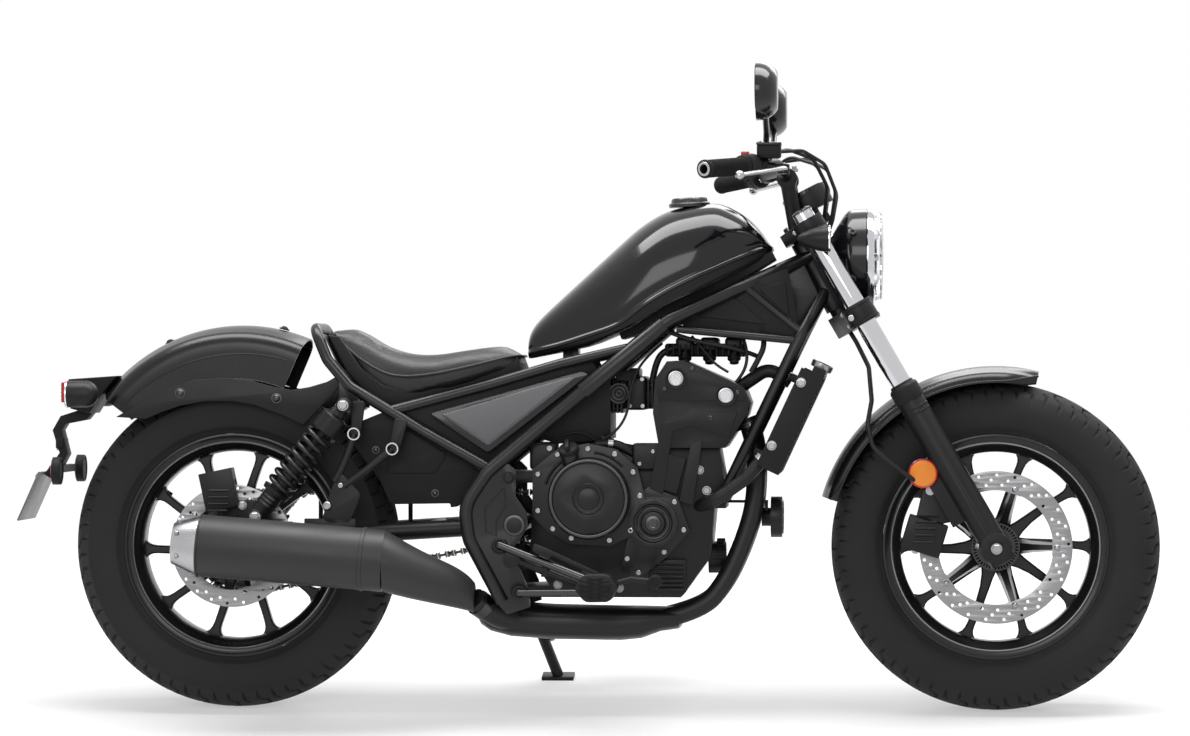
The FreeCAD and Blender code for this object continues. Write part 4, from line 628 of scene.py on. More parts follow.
# studio
studio = {"camera": (1321, -9000, 668), "yaw": 3.91, "lens": 138.77, "sensor": 36,
    "floorGrey": 0.86, "skyLevel": 0.36, "topLamp": 230, "sideLamp": 55}


def addLamp(name, place, aim, width, power):
    data = bpy.data.lights.new(name, "AREA")
    data.shape = "RECTANGLE"
    data.size = width
    data.size_y = 1.6
    data.energy = power
    lamp = placed(name, data)
    lamp.location = place
    lamp.rotation_euler = (Vector(aim) - Vector(place)).to_track_quat("-Z", "Y").to_euler()


def makeCamera():
    data = bpy.data.cameras.new("photoCamera")
    data.lens = studio["lens"]
    data.sensor_width = studio["sensor"]
    data.clip_end = 100
    camera = placed("photoCamera", data)
    lean = Matrix.Rotation(-leanAngle, 4, "X")
    camera.matrix_world = (Matrix.Translation(standMatrix @ Vector(studio["camera"])) @ lean
        @ spin(studio["yaw"], "Z") @ spin(90, "X"))
    bpy.context.scene.camera = camera
    bpy.context.scene.view_settings.view_transform = "Standard"


def makeSky():
    # white to the camera, in mirrors and through glass, and a soft grey light on the machine
    world = bpy.data.worlds.new("studioSky")
    bpy.context.scene.world = world
    world.use_nodes = True
    tree = world.node_tree
    sky = tree.nodes["Background"]
    sky.inputs["Color"].default_value = (1, 1, 1, 1)
    sky.inputs["Strength"].default_value = studio["skyLevel"]
    white = addNode(tree, "ShaderNodeBackground", {"Color": (1, 1, 1, 1), "Strength": 1})
    path = addNode(tree, "ShaderNodeLightPath").outputs
    seen = path["Is Camera Ray"]
    for ray in ("Is Glossy Ray", "Is Transmission Ray"):
        seen = reckon(tree, "MAXIMUM", seen, path[ray])
    mix = addNode(tree, "ShaderNodeMixShader", {0: seen, 1: sky.outputs[0], 2: white.outputs[0]})
    tree.links.new(mix.outputs[0], tree.nodes["World Output"].inputs["Surface"])


def makeFloor():
    # pale paper that fades into the white round it
    floor = makePiece("studioFloor", [(-30, -30, 0), (30, -30, 0), (30, 30, 0), (-30, 30, 0)],
        [(0, 1, 2, 3)])
    material = finish("studioPaper", (studio["floorGrey"],) * 3, 0.8, spread=0.02, tint=0.005)
    tree = material.node_tree
    glow = addNode(tree, "ShaderNodeEmission", {"Color": (1, 1, 1, 1)}).outputs[0]
    reach = pattern(material, "ShaderNodeVectorMath", {}, operation="LENGTH")["Value"]
    fade = addNode(tree, "ShaderNodeMapRange", {"From Min": 0.9, "From Max": 3.0, "To Min": 0.45,
        "To Max": 1.0, "Value": reach}, interpolation_type="SMOOTHSTEP").outputs["Result"]
    paper = tree.nodes["Principled BSDF"].outputs[0]
    mix = addNode(tree, "ShaderNodeMixShader", {0: fade, 1: paper, 2: glow})
    tree.links.new(mix.outputs[0], tree.nodes["Material Output"].inputs["Surface"])
    paint(floor, material)


makeCamera()
makeSky()
makeFloor()
addLamp("overheadLamp", (0, 0.2, 3.4), (0, 0, 0.4), 4.6, studio["topLamp"])
addLamp("nearLamp", (-0.6, -4.2, 2.6), (0, 0, 0.5), 3.0, studio["sideLamp"])
addLamp("farLamp", (1.2, 3.8, 2.6), (0, 0, 0.5), 3.0, studio["sideLamp"])
print("studio ready")


# until a piece stands in its place, a CAD node shows plain satin black
for node in allNodes.values():
    paint(node, satinBlack)


# small fasteners, copied to their places by a tree
def socketBolt():
    return turned("socketBolt", [(-2, 0), (-2, 5), (4.2, 5), (5, 4.2), (5, 2.8), (2.6, 2.5), (2.6, 0)],
        steps=18)


def domeBolt():
    return turned("domeBolt", [(-1, 0), (-1, 6.75), (0.8, 6.75), (0.9, 5), (2.25, 4.25), (3.5, 2.5),
        (3.9, 0)], steps=16)


def hexBolt():
    flange = turned("hexFlange", [(-1, 0), (-1, 7.8), (1.2, 7.2), (1.2, 0)], steps=18)
    head = turned("hexHead", [(0.5, 0), (0.5, 6), (4.2, 6), (5, 5.16), (5, 0)], steps=6)
    return join("hexBolt", [flange, head])


def boltSet(name, places, material=zincSteel, kind="socket"):
    item = {"socket": socketBolt, "dome": domeBolt, "hex": hexBolt}[kind]()
    made = fasteners(name, item, places, material)
    bpy.data.objects.remove(item)
    return made


# tyres: one pitch of the tread with its side walls, repeated round the axle
tyreSizes = {"radius": 320, "crownRadius": 85, "crownHalf": 56, "rimRadius": 219.4, "pitches": 32,
    "grooveDepth": 5.5, "grooveHalf": 1.7, "columns": 26, "crownRows": 50}


def tyreSection(half, rimHalf):
    # (across, radius) from the middle of the tread to the rim, on one side
    top = tyreSizes["radius"] - tyreSizes["crownRadius"]
    rows = tyreSizes["crownRows"] // 2
    crown = []
    for index in range(rows + 1):
        across = tyreSizes["crownHalf"] * index / rows
        crown.append((across, top + math.sqrt(tyreSizes["crownRadius"] ** 2 - across ** 2)))
    wall = [crown[-1], (half - 4, 288), (half - 0.8, 276), (half, 262), (half - 2, 246), (half - 6.5, 233),
        (rimHalf + 5, 226), (rimHalf + 1.5, 221.5), (rimHalf - 2, tyreSizes["rimRadius"])]
    return crown + [tuple(point.xy) for point in smoothLine([(*p, 0) for p in wall], 17)[1:]]


def grooveDepth(along, across, pitch, side):
    # the cut's depth at a place on the tread, in millimetres
    shifted = (along + (pitch / 2 if side < 0 else 0)) % pitch
    lanes = [(62, 47, 0.30, 0.30), (47, 40, 0.30, 0.55), (40, 22, 0.55, 0.60), (22, 15, 0.60, 0.36),
        (15, 7, 0.36, 0.30), (62, 43, 0.80, 0.83), (43, 38, 0.83, 0.93)]
    nearest = 99.0
    for outer, inner, startShare, endShare in lanes:
        first = Vector((startShare * pitch, outer))
        last = Vector((endShare * pitch, inner))
        run = last - first
        for wrap in (-pitch, 0, pitch):
            spot = Vector((shifted + wrap, abs(across)))
            share = max(0, min(1, (spot - first).dot(run) / run.length_squared))
            nearest = min(nearest, (spot - first - run * share).length)
    nearest = min(nearest, abs(abs(across) - 3.0))
    edge = (nearest - tyreSizes["grooveHalf"]) / 1.1
    return tyreSizes["grooveDepth"] * max(0.0, min(1.0, 1 - edge))


def makeTyre(name, half, rimHalf, hub, body):
    section = tyreSection(half, rimHalf)
    crownRows = tyreSizes["crownRows"] // 2
    line = [(-across, radius) for across, radius in section[:0:-1]] + section
    middle = len(section) - 1
    count = tyreSizes["columns"]
    pitchAngle = math.tau / tyreSizes["pitches"]
    pitch = tyreSizes["radius"] * pitchAngle
    points = []
    for column in range(count + 1):
        angle = pitchAngle * (column / count)
        for index, (across, radius) in enumerate(line):
            away = abs(index - middle)
            depth = 0
            if away <= crownRows + 2:
                depth = grooveDepth(pitch * column / count, across, pitch, 1 if across >= 0 else -1)
            if away > crownRows:
                depth = depth * max(0, 1 - (away - crownRows) / 3)
                depth += 0.5 if 0 < (radius - 281) < 2.5 else 0
            reach = radius - depth
            points.append((reach * math.cos(angle), across, reach * math.sin(angle)))
    width = len(line)
    faces = [(c * width + r, c * width + r + 1, (c + 1) * width + r + 1, (c + 1) * width + r)
        for c in range(count) for r in range(width - 1)]
    tyre = around(name, makePiece("treadPitch", points, faces), tyreSizes["pitches"], tyreRubber)
    move(tyre, Matrix.Translation(hub))
    return fit(tyre, body, [name.replace("Tyre", "_tyre")], 24)


makeTyre("frontTyre", 65, 45, frontHub, "front_wheel")
makeTyre("rearTyre", 75, 53, rearHub, "rear_wheel")
print("tyres done")


# cast wheels
wheelSizes = {"spokes": 10, "window": 186, "edge": 219, "seat": 203, "hub": 44}


def rimProfile(half):
    edge, seat, window = wheelSizes["edge"], wheelSizes["seat"], wheelSizes["window"]
    outer = [(half - 0.5, edge + 0.2), (half, edge - 1.5), (half, edge - 4), (half - 1.5, edge - 6),
        (half - 3, 206), (half - 2, 203.5), (half - 2.5, 200.5), (half - 5, 199), (half - 8, 197),
        (half - 12, 192), (half - 17, 188.5), (26, window), (22, window - 1.5)]
    inner = [(-across, radius) for across, radius in reversed(outer)]
    well = [(-half + 5, edge - 0.5), (-half + 8, seat + 2), (-20, seat - 2), (-16, seat - 6),
        (16, seat - 6), (20, seat - 2), (half - 8, seat + 2), (half - 5, edge - 0.5)]
    return outer + inner + well + [outer[0]]


def spoke(thick, swirl):
    # one arm from the hub to the rim, wide at both ends
    widths = [(34, 19), (46, 15.5), (60, 12), (84, 9.4), (112, 8.4), (140, 7.8), (160, 7.8), (170, 8.8),
        (177, 11.5), (182, 16), (187.5, 24)]
    rings = []
    for radius, half in widths:
        share = (radius - 34) / 150
        shift = swirl * math.sin(math.pi * min(1, share)) * (1 - 0.45 * share)
        deep = thick * (1 - 0.22 * share)
        edge = min(3.0, half * 0.34)
        ring = [(radius, deep, shift - half + edge), (radius, deep - edge, shift - half),
            (radius, -deep + edge, shift - half), (radius, -deep, shift - half + edge),
            (radius, -deep, shift + half - edge), (radius, -deep + edge, shift + half),
            (radius, deep - edge, shift + half), (radius, deep, shift + half - edge)]
        if radius > 184:
            ring = [(r + 2, y, z) for r, y, z in ring]
        rings.append(ring)
    return lofted("spoke", rings)


def makeWheel(name, half, hubHalf, axleRadius, boltCircle, bossEnd, phase, hub, body, driven):
    parts = [paint(turned("rim", rimProfile(half), along=(0, 1, 0), steps=180), wheelBlack)]
    lip = turned("lip", [(half - 1.9, 203.4), (half - 1.2, 202.2), (half - 1.9, 200.9), (half - 3.4, 202.2),
        (half - 1.9, 203.4)], along=(0, 1, 0), steps=180)
    parts += [paint(piece, zincSteel) for piece in bothSides(lip)]
    arms = around("arms", spoke(13.5, 7.0), wheelSizes["spokes"], wheelBlack)
    parts.append(move(arms, spin(phase)))
    hubLine = [(-hubHalf, axleRadius + 0.4), (-hubHalf, 26), (-hubHalf + 2, 28), (-hubHalf + 10, 30),
        (-22, 38), (-16, 44), (16, 44), (22, 38), (hubHalf - 10, 30), (hubHalf - 2, 28), (hubHalf, 26),
        (hubHalf, axleRadius + 0.4), (-hubHalf, axleRadius + 0.4)]
    add(parts, wheelBlack, turned("hub", hubLine, along=(0, 1, 0), steps=72))
    boss = turned("boss", [(0, 0), (0, 11), (bossEnd - 14, 9), (bossEnd - 2.6, 9), (bossEnd - 2.6, 0)],
        (boltCircle, 0, 0), (0, -1, 0), 20)
    web = lofted("web", [[(r, -12, z), (r, -bossEnd + 6 + lift, z * 0.5),
        (r, -bossEnd + 6 + lift, -z * 0.5), (r, -12, -z)] for r, z, lift in ((42, 16, 26), (70, 12, 12),
        (boltCircle - 6, 9, 2))])
    carriers = around("carriers", join("carrier", [boss, web]), wheelSizes["spokes"] // 2, wheelBlack)
    parts.append(move(carriers, spin(phase)))
    if driven:
        drum = [(30, 44), (34, 66), (60, 70), (82, 66), (86, 58), (86, 36), (60, 30), (30, 30), (30, 44)]
        add(parts, castCoat, turned("drum", drum, along=(0, 1, 0), steps=72))
    valve = rod("valve", (-186, 0, 0), (-166, 8, 0), 3.2, 12)
    add(parts, darkSteel, move(valve, spin(36)))
    wheel = join(name, parts)
    move(wheel, Matrix.Translation(hub))
    return fit(wheel, body, [name.replace("Wheel", "_wheel")])


makeWheel("frontWheel", 45, 45, 9, 118, 72, 0, frontHub, "front_wheel", False)
makeWheel("rearWheel", 53, 50, 10, 95, 85, -3, rearHub, "rear_wheel", True)


# drilled discs, with their carrier bolts and the speed ring
def makeDisc(name, outer, inner, offset, boltCircle, rows, holesRound, hub, body, steel, phase):
    loops = [circle(0, 0, outer, 160)]
    notches = []
    for index in range(160):
        angle = math.tau * index / 160
        reach = inner - 1.8 * (math.cos(5 * (angle - math.radians(phase))) > 0.8)
        notches.append((reach * math.cos(angle), reach * math.sin(angle)))
    loops.append(notches)
    for rowIndex, radius in enumerate(rows):
        for index in range(holesRound):
            if rowIndex == 1 and index % 5 == 2:
                continue
            angle = math.tau * (index + rowIndex / len(rows)) / holesRound + 0.05
            loops.append(circle(radius * math.cos(angle), radius * math.sin(angle), 3.1, 12))
    disc = paint(plate(name + "Plate", loops, -offset - 2.5, 2.5 - offset, 0.35, 1), steel)
    spots = []
    for index in range(5):
        angle = math.radians(phase) + math.tau * index / 5
        spots.append((Vector((boltCircle * math.cos(angle), -offset - 2.6, boltCircle * math.sin(angle))),
            (0, -1, 0), 1.15))
    bolts = boltSet("discBolts", spots, zincSteel, "dome")
    made = join(name, [disc, bolts])
    move(made, Matrix.Translation(hub))
    return fit(made, body, [name.replace("Disc", "_disc")])


makeDisc("frontDisc", 148, 111, 72, 118, (140.5, 131, 121.5), 25, frontHub, "front_wheel", frontDiscSteel,
    0)
makeDisc("rearDisc", 120, 86, 85, 95, (113, 104.5), 22, rearHub, "rear_wheel", rearDiscSteel, -3)


def makeSpeedRing(name, radius, offset, hub, body):
    loops = [circle(0, 0, radius, 96), circle(0, 0, radius - 18, 64)]
    for index in range(44):
        angle = math.tau * index / 44
        middle = Vector((math.cos(angle), math.sin(angle)))
        across = Vector((-middle.y, middle.x)) * 1.5
        loops.append([tuple(middle * r + across * side) for r, side in ((radius - 9, -1),
            (radius - 2.5, -1), (radius - 2.5, 1), (radius - 9, 1))])
    made = paint(plate(name, loops, -offset - 1, -offset + 1), darkSteel)
    move(made, Matrix.Translation(hub))
    return fit(made, body)


makeSpeedRing("frontSpeedRing", 47, 47, frontHub, "front_wheel")
makeSpeedRing("rearSpeedRing", 52, 58, rearHub, "rear_wheel")
print("wheels and discs done")


# rear sprocket and the chain on it
chainSizes = {"offset": 91, "teeth": 40, "pitch": 15.875, "frontCentre": (640, 383), "frontTeeth": 15}


def toothedLoop(teeth, radius, depth):
    points = []
    for tooth in range(teeth):
        for share, lift in ((0.0, -depth), (0.14, -depth * 0.9), (0.3, -depth * 0.25), (0.42, 0), (0.58, 0),
                (0.7, -depth * 0.25), (0.86, -depth * 0.9)):
            angle = math.tau * (tooth + share) / teeth
            reach = radius + lift
            points.append((reach * math.cos(angle), reach * math.sin(angle)))
    return points


def makeSprocket():
    loops = [toothedLoop(chainSizes["teeth"], 104, 8.5), circle(0, 0, 62, 72)]
    for index in range(5):
        angle = math.tau * (index + 0.5) / 5
        loops.append(circle(80 * math.cos(angle), 80 * math.sin(angle), 9, 24))
    face = chainSizes["offset"]
    toothed = paint(plate("toothed", loops, face - 2.5, face + 2.5, 0.5, 1), darkSteel)
    spots = [(Vector((72 * math.cos(math.tau * k / 5), face + 2.6, 72 * math.sin(math.tau * k / 5))),
        (0, 1, 0), 1.2) for k in range(5)]
    made = join("rearSprocket", [toothed, boltSet("sprocketBolts", spots, zincSteel, "hex")])
    move(made, Matrix.Translation(rearHub))
    return fit(made, "rear_wheel", ["rear_sprocket"])


makeSprocket()


def chainLine():
    # the chain's middle line round both sprockets, as an even closed line
    front = Vector(chainSizes["frontCentre"])
    rear = Vector((rearHub.x, rearHub.z))
    along = front - rear
    small = chainSizes["pitch"] / 2 / math.sin(math.pi / chainSizes["frontTeeth"])
    large = chainSizes["pitch"] / 2 / math.sin(math.pi / chainSizes["teeth"])
    tilt = math.asin((large - small) / along.length)
    base = math.atan2(along.y, along.x)
    line = []
    for index in range(13):
        angle = base + math.pi / 2 - tilt - (math.pi - 2 * tilt) * index / 12
        line.append(front + Vector((math.cos(angle), math.sin(angle))) * small)
    for index in range(31):
        angle = base - math.pi / 2 + tilt - (math.pi + 2 * tilt) * index / 30
        line.append(rear + Vector((math.cos(angle), math.sin(angle))) * large)
    return [Vector((point.x, chainSizes["offset"], point.y)) for point in line]


def linkItem(name, half, waist, inner):
    outline = []
    radius = 6.6
    for way in (1, -1):
        for index in range(7):
            across, up = polar(radius, 30 * index - 90 * way)
            outline.append((way * half + across, up))
        outline.append((0, way * waist))
    sides = [plate("linkPlate", [outline], side * inner - 0.9, side * inner + 0.9) for side in (-1, 1)]
    pins = [rod("pin", (x, -inner, 0), (x, inner, 0), 4.6 if inner < 5 else 2.6, 10) for x in (-half, half)]
    return join(name, sides + pins)


def makeChain():
    line = chainLine()
    curve = bpy.data.curves.new("chainPath", "CURVE")
    curve.dimensions = "3D"
    addSpline(curve, line)
    length = sum((line[k] - line[k - 1]).length for k in range(len(line)))
    links = 2 * round(length / chainSizes["pitch"] / 2)
    parts = []
    for first, inner in ((0, 4.4), (1, 6.6)):
        item = linkItem("link", chainSizes["pitch"] / 2, 4.4, inner)
        for axis in "YXZ":
            move(item, spin(90, axis))
        parts.append(runTree("links", alongPath, {"Item": item, "Count": links, "First": first, "Every": 2,
            "Finish": chainSteel}, curve.copy()))
        bpy.data.objects.remove(item)
    return fit(join("driveChain", parts), "chassis", ["drive_chain"])


makeChain()
print("chain done")


def smoothStations(stations, count):
    # evenly smoothed (x, low, high, half) rows between the named ones
    line = smoothLine([(s[0], s[1], s[2]) for s in stations], count)
    widths = smoothLine([(s[0], s[3], 0) for s in stations], count)
    rows = []
    for point in line:
        near = min(range(len(widths) - 1), key=lambda k: abs(widths[k][0] - point[0]))
        near = min(max(near, 1), len(widths) - 2)
        before, after = (near - 1, near) if widths[near][0] > point[0] else (near, near + 1)
        span = widths[after][0] - widths[before][0]
        share = 0 if abs(span) < 1e-6 else (point[0] - widths[before][0]) / span
        rows.append((point[0], point[1], point[2], widths[before][1] * (1 - share)
            + widths[after][1] * share))
    return rows


# fuel tank: a pressed upper shell on a flanged lower one
tankShape = {
    "stations": [(578, 692, 722, 52), (583, 694, 742, 66), (600, 700, 765, 75), (640, 709, 803, 88),
        (700, 728, 858, 104), (760, 749, 913, 118), (801, 781, 948, 125), (850, 812, 976, 130),
        (906, 840, 988, 127), (943, 856, 991, 118), (969, 868, 984, 108), (1002, 882, 966, 92),
        (1030, 893, 940, 76), (1048, 898, 914, 63), (1058, 899, 904, 50)],
    "flange": 9, "flangeOut": 3.5, "seam": 13,
    "tray": [(579, 687), (624, 696), (700, 712), (780, 746), (850, 790), (930, 828), (1000, 861),
        (1045, 885), (1058, 892)]}


def tankRing(x, low, high, half):
    tall = high - low
    lip = min(tankShape["flange"], tall * 0.25)
    seam = min(tankShape["seam"], tall * 0.36)
    out = tankShape["flangeOut"]
    right = [(0, 3), (half * 0.6, 1.5), (half - 12, 0), (half + out - 2, -1), (half + out, 1),
        (half + out, lip * 0.62), (half - 0.5, lip), (half - 1.2, seam)]
    base = seam + 1
    for share, up in ((1.004, 0.06), (1.002, 0.17), (0.985, 0.3), (0.955, 0.42), (0.905, 0.54),
            (0.83, 0.66), (0.73, 0.77), (0.6, 0.865), (0.44, 0.935), (0.28, 0.975), (0.13, 0.994)):
        right.append((half * share, base + (tall - base) * up))
    right.append((0, tall))
    return wholeRing(x, [(y, low + z) for y, z in right])


def between(pairs, x):
    # the level on a broken line of (x, level) pairs
    for (x0, z0), (x1, z1) in zip(pairs, pairs[1:]):
        if x <= x1:
            return z0 + (z1 - z0) * max(0, x - x0) / (x1 - x0)
    return pairs[-1][1]


def trayRing(x, low, high, half):
    # the dark underside, between the flange and the frame
    base = between(tankShape["tray"], x)
    low = max(low, base + 2) + 1
    side = half - 6
    right = [(0, base), (side - 9, base), (side - 4, base + 1), (side, base + (low - base) * 0.4),
        (side + 2, low), (0, low)]
    return wholeRing(x, right)


def makeTank():
    rows = smoothStations(tankShape["stations"], 34)
    shell = paint(cleanNormals(subdivide(lofted("shell", [tankRing(*row) for row in rows]))), deepGloss)
    tray = paint(lofted("tankTray", [trayRing(*row) for row in rows[1:-1]]), satinBlack)
    return fit(join("fuelTank", [shell, tray]), "chassis", ["fuel_tank"], 50)


makeTank()


def makeCap():
    up = (-0.05, 0, 1)
    lid = turned("fuelCap", [(-4, 0), (-4, 40), (2, 41), (4, 39), (5, 36), (11, 35), (13.4, 33), (14, 29),
        (14, 12), (13.4, 11.4), (13.4, 0)], (892, 0, 988), up, 64)
    parts = [paint(lid, darkSteel)]
    add(parts, brushedAlloy, turned("keyFlap", [(13, 0), (13, 10), (15.5, 9), (16, 0)], (897, 0, 988), up,
        24))
    return fit(join("tankCap", parts), "chassis", ["fuel_cap"])


makeCap()


# seat: a sewn cover blown up over its foam
seatShape = {
    "stations": [(193, 722, 746, 66), (197, 714, 752, 76), (222, 684, 752, 86), (264, 634, 731, 92),
        (300, 605, 710, 98), (345, 602, 697, 110), (400, 618, 695, 125), (450, 631, 702, 129),
        (501, 645, 709, 121), (540, 656, 711, 106), (560, 663, 707, 90), (566, 670, 700, 78)],
    "seamLine": [(203, 733), (230, 704), (264, 678), (306, 657), (349, 652), (400, 657), (450, 667),
        (501, 679), (540, 689), (562, 692)],
    "shrink": 5, "voxel": 0.006, "pressure": 4.0, "cap": 0.006}


def seatRing(x, low, high, half):
    tall = high - low
    right = [(0, 0), (0.55, 0.0), (0.86, 0.02), (0.97, 0.1), (1.0, 0.25), (1.0, 0.45), (0.985, 0.62),
        (0.93, 0.79), (0.82, 0.91), (0.64, 0.965), (0.42, 0.975), (0.2, 0.965), (0, 0.96)]
    return wholeRing(x, [(half * y, low + tall * z) for y, z in right])


def swell(pad, settings):
    # the cover takes its tight, slightly crowned form by simulation
    before = [vertex.co.copy() for vertex in pad.data.vertices]
    cloth = pad.modifiers.new("cover", "CLOTH")
    cloth.settings.use_pressure = True
    cloth.settings.uniform_pressure_force = settings["pressure"]
    cloth.settings.effector_weights.gravity = 0
    cloth.settings.quality = 5
    cloth.point_cache.frame_start = 1
    cloth.point_cache.frame_end = 20
    scene = bpy.context.scene
    for step in range(1, 21):
        scene.frame_set(step)
    bake(pad)
    for vertex, start in zip(pad.data.vertices, before):
        shift = vertex.co - start
        if shift.length > settings["cap"]:
            vertex.co = start + shift.normalized() * settings["cap"]
    scene.frame_set(1)
    return pad


def makeSeat():
    rows = smoothStations(seatShape["stations"], 30)
    less = seatShape["shrink"]
    rings = [seatRing(x, low + less, high - less, half - less) for x, low, high, half in rows]
    pad = cleanNormals(subdivide(lofted("seatPad", rings)))
    pad.data.transform(Matrix.Scale(0.001, 4))
    voxels = pad.modifiers.new("voxels", "REMESH")
    voxels.mode = "VOXEL"
    voxels.voxel_size = seatShape["voxel"]
    bake(pad)
    swell(pad, seatShape)
    subdivide(pad)
    pad.data.transform(Matrix.Scale(1000, 4))
    return paint(pad, seatLeather)


def seatEdge(count, out):
    # the seam's line round the seat, a little proud of its side
    seam = smoothLine([(x, 0, z) for x, z in seatShape["seamLine"]], count)
    stations = smoothStations(seatShape["stations"], 60)
    side = []
    for point in seam:
        near = min(stations, key=lambda row: abs(row[0] - point[0]))
        tall = max(1.0, near[2] - near[1])
        share = (point[2] - near[1]) / tall
        bend = 1.0 if share < 0.45 else max(0.35, 1 - 0.55 * (share - 0.45) ** 1.6 / 0.4)
        side.append(Vector((point[0], near[3] * bend + out, point[2])))
    return side


def makeSeatTrim():
    side = seatEdge(30, -0.8)
    mirror = [Vector((p.x, -p.y, p.z)) for p in side]
    front = [Vector((566.5, y, 691)) for y in (48, 16, -16, -48)]
    back = [Vector((194, y, 735)) for y in (-48, -16, 16, 48)]
    cord = swept("seatPiping", side + front + mirror[::-1] + back, 2.6, "POLY", closed=True, smooth=1)
    return paint(cord, seatLeather)


seat = join("seatCushion", [makeSeat()])
fit(seat, "chassis", ["seat"], 70)
fit(makeSeatTrim(), "chassis")
print("tank and seat done")


# fenders: thin crowned shells with a rolled edge
def fenderSection(half, crown, skirt, wall, radius, corner):
    # (across, reach) round the whole wall, right edge to left edge and back
    rise = radius - crown
    outer = [(half, skirt)]
    outer += [(half, skirt + (rise - corner - skirt) * share) for share in (0.3, 0.6, 0.85, 1.0)]
    for index in range(1, 6):
        angle = math.radians(18 * index)
        outer.append((half - corner + corner * math.cos(angle),
            rise - corner + corner * math.sin(angle) + crown * 0.16 * index / 5))
    for index in range(1, 7):
        share = 1 - index / 6
        across = (half - corner) * share
        outer.append((across, radius - crown * 0.84 * share ** 2))
    whole = outer + [(-across, reach) for across, reach in outer[-2::-1]]
    inner = []
    for index, (across, reach) in enumerate(whole):
        before = Vector(whole[max(index - 1, 0)])
        after = Vector(whole[min(index + 1, len(whole) - 1)])
        run = (after - before).normalized()
        normal = Vector((run.y, -run.x))
        inner.append((across + (-normal.x * wall), reach + (-normal.y * wall)))
    return whole, inner


def fenderShell(name, settings):
    rings = []
    steps = settings["steps"]
    for index in range(steps + 1):
        share = index / steps
        angle = math.radians(settings["start"] + settings["sweep"] * share)
        half, skirt = settings["taper"](share)
        whole, inner = fenderSection(half, settings["crown"], skirt, settings["wall"], settings["radius"],
            min(settings["corner"], half * 0.4))
        ring = []
        for across, reach in whole + inner[::-1]:
            ring.append((settings["x"] + reach * math.cos(angle), across,
                settings["z"] + reach * math.sin(angle)))
        rings.append(ring)
    return lofted(name, rings)


def hemOf(settings, side, radius):
    points = []
    for index in range(settings["steps"] + 1):
        share = index / settings["steps"]
        angle = math.radians(settings["start"] + settings["sweep"] * share)
        half, skirt = settings["taper"](share)
        points.append((settings["x"] + skirt * math.cos(angle), side * half,
            settings["z"] + skirt * math.sin(angle)))
    return swept("hem", points, radius, "POLY", smooth=1)


def frontTaper(share):
    # the nose narrows to a rounded leaf, the tail only a little
    nose = min(1.0, share / 0.16)
    tail = min(1.0, (1 - share) / 0.08)
    half = 76.5 * (0.42 + 0.58 * math.sin(nose * math.pi / 2)) * (0.9 + 0.1 * math.sin(tail * math.pi / 2))
    skirt = 322 + 20 * (1 - math.sin(nose * math.pi / 2)) + 12 * (1 - math.sin(tail * math.pi / 2))
    return half, skirt


frontFender = {"x": 1490, "z": 320, "start": 76, "sweep": 88, "radius": 352, "crown": 13, "wall": 2.6,
    "corner": 20, "steps": 56, "taper": frontTaper}


def makeFrontFender():
    parts = [fenderShell("frontGuard", frontFender)]
    parts += [hemOf(frontFender, side, 2.2) for side in (1, -1)]
    parts = [paint(piece, fenderPaint) for piece in parts]
    for side in (1, -1):
        stay = sidePlate("stay", [rounded([(-26, 306), (26, 306), (20, 348), (-20, 348)], 6)], side, 78, 86,
            1.2, 2)
        spots = [((x, side * 86.5, 330), (0, side, 0), 1.0) for x in (-10, 10)]
        piece = join("stays", [paint(stay, satinBlack), boltSet("stayBolts", spots, zincSteel)])
        parts.append(move(piece, forkMatrix))
    return fit(join("frontFender", parts), "steering", ["front_fender"])


def rearTaper(share):
    # the side's lower edge, behind its dark panel
    tail = min(1.0, (1 - share) / 0.05)
    return 95 * (0.97 + 0.03 * tail), 236 + 26 * max(0, (share - 0.72) / 0.28) ** 1.5


rearFender = {"x": 10, "z": 410, "start": 67, "sweep": 76, "radius": 342, "crown": 14, "wall": 2.8,
    "corner": 26, "steps": 48, "taper": rearTaper}


def makeRearFender():
    parts = [fenderShell("rearGuard", rearFender)]
    parts += [hemOf(rearFender, side, 2.0) for side in (1, -1)]
    parts = [paint(piece, fenderPaint) for piece in parts]
    for side in (1, -1):
        crease = []
        for index in range(25):
            angle = math.radians(70 + 70 * index / 24)
            reach = 290 - 6 * math.sin(math.pi * index / 24)
            crease.append((10 + reach * math.cos(angle), side * 94.6, 410 + reach * math.sin(angle)))
        add(parts, fenderPaint, swept("crease", crease, 1.5, "POLY", smooth=1))
    spots = [((91, 0, 745), (0.25, 0, 0.97), 1.5), ((-137, 0, 719), (-0.4, 0, 0.9), 1.5)]
    parts.append(boltSet("guardStuds", spots, mouldedBlack, "dome"))
    return fit(join("rearFender", parts), "chassis", ["rear_fender"])


makeFrontFender()
makeRearFender()

fenderPanel = {
    "outline": [(-228, 572), (-175, 602), (-128, 627), (-73, 645), (-14, 649), (37, 644), (84, 631),
        (119, 625), (154, 631), (188, 641), (218, 658), (222, 640), (175, 590), (142, 556),
        (100, 576), (44, 596), (0, 603), (-50, 603), (-101, 594), (-136, 582), (-169, 568)],
    "bolts": [(-101, 619), (89, 609)]}


def makeFenderPanels():
    parts = []
    for side in (1, -1):
        panel = sidePlate("fenderPanel", [fenderPanel["outline"]], side, 95.4, 101.4, 1.6, 2)
        add(parts, satinBlack, panel)
        spots = [((x, side * 101.2, z), (0, side, 0), 1.5) for x, z in fenderPanel["bolts"]]
        parts.append(boltSet("panelBolts", spots, darkSteel, "dome"))
    return fit(join("fenderPanels", parts), "chassis", ["fender_rails"])


makeFenderPanels()


# side covers and battery box
sideCover = {"corners": [(390, 579), (506, 502), (704, 655), (690, 662)], "low": 112, "high": 126}


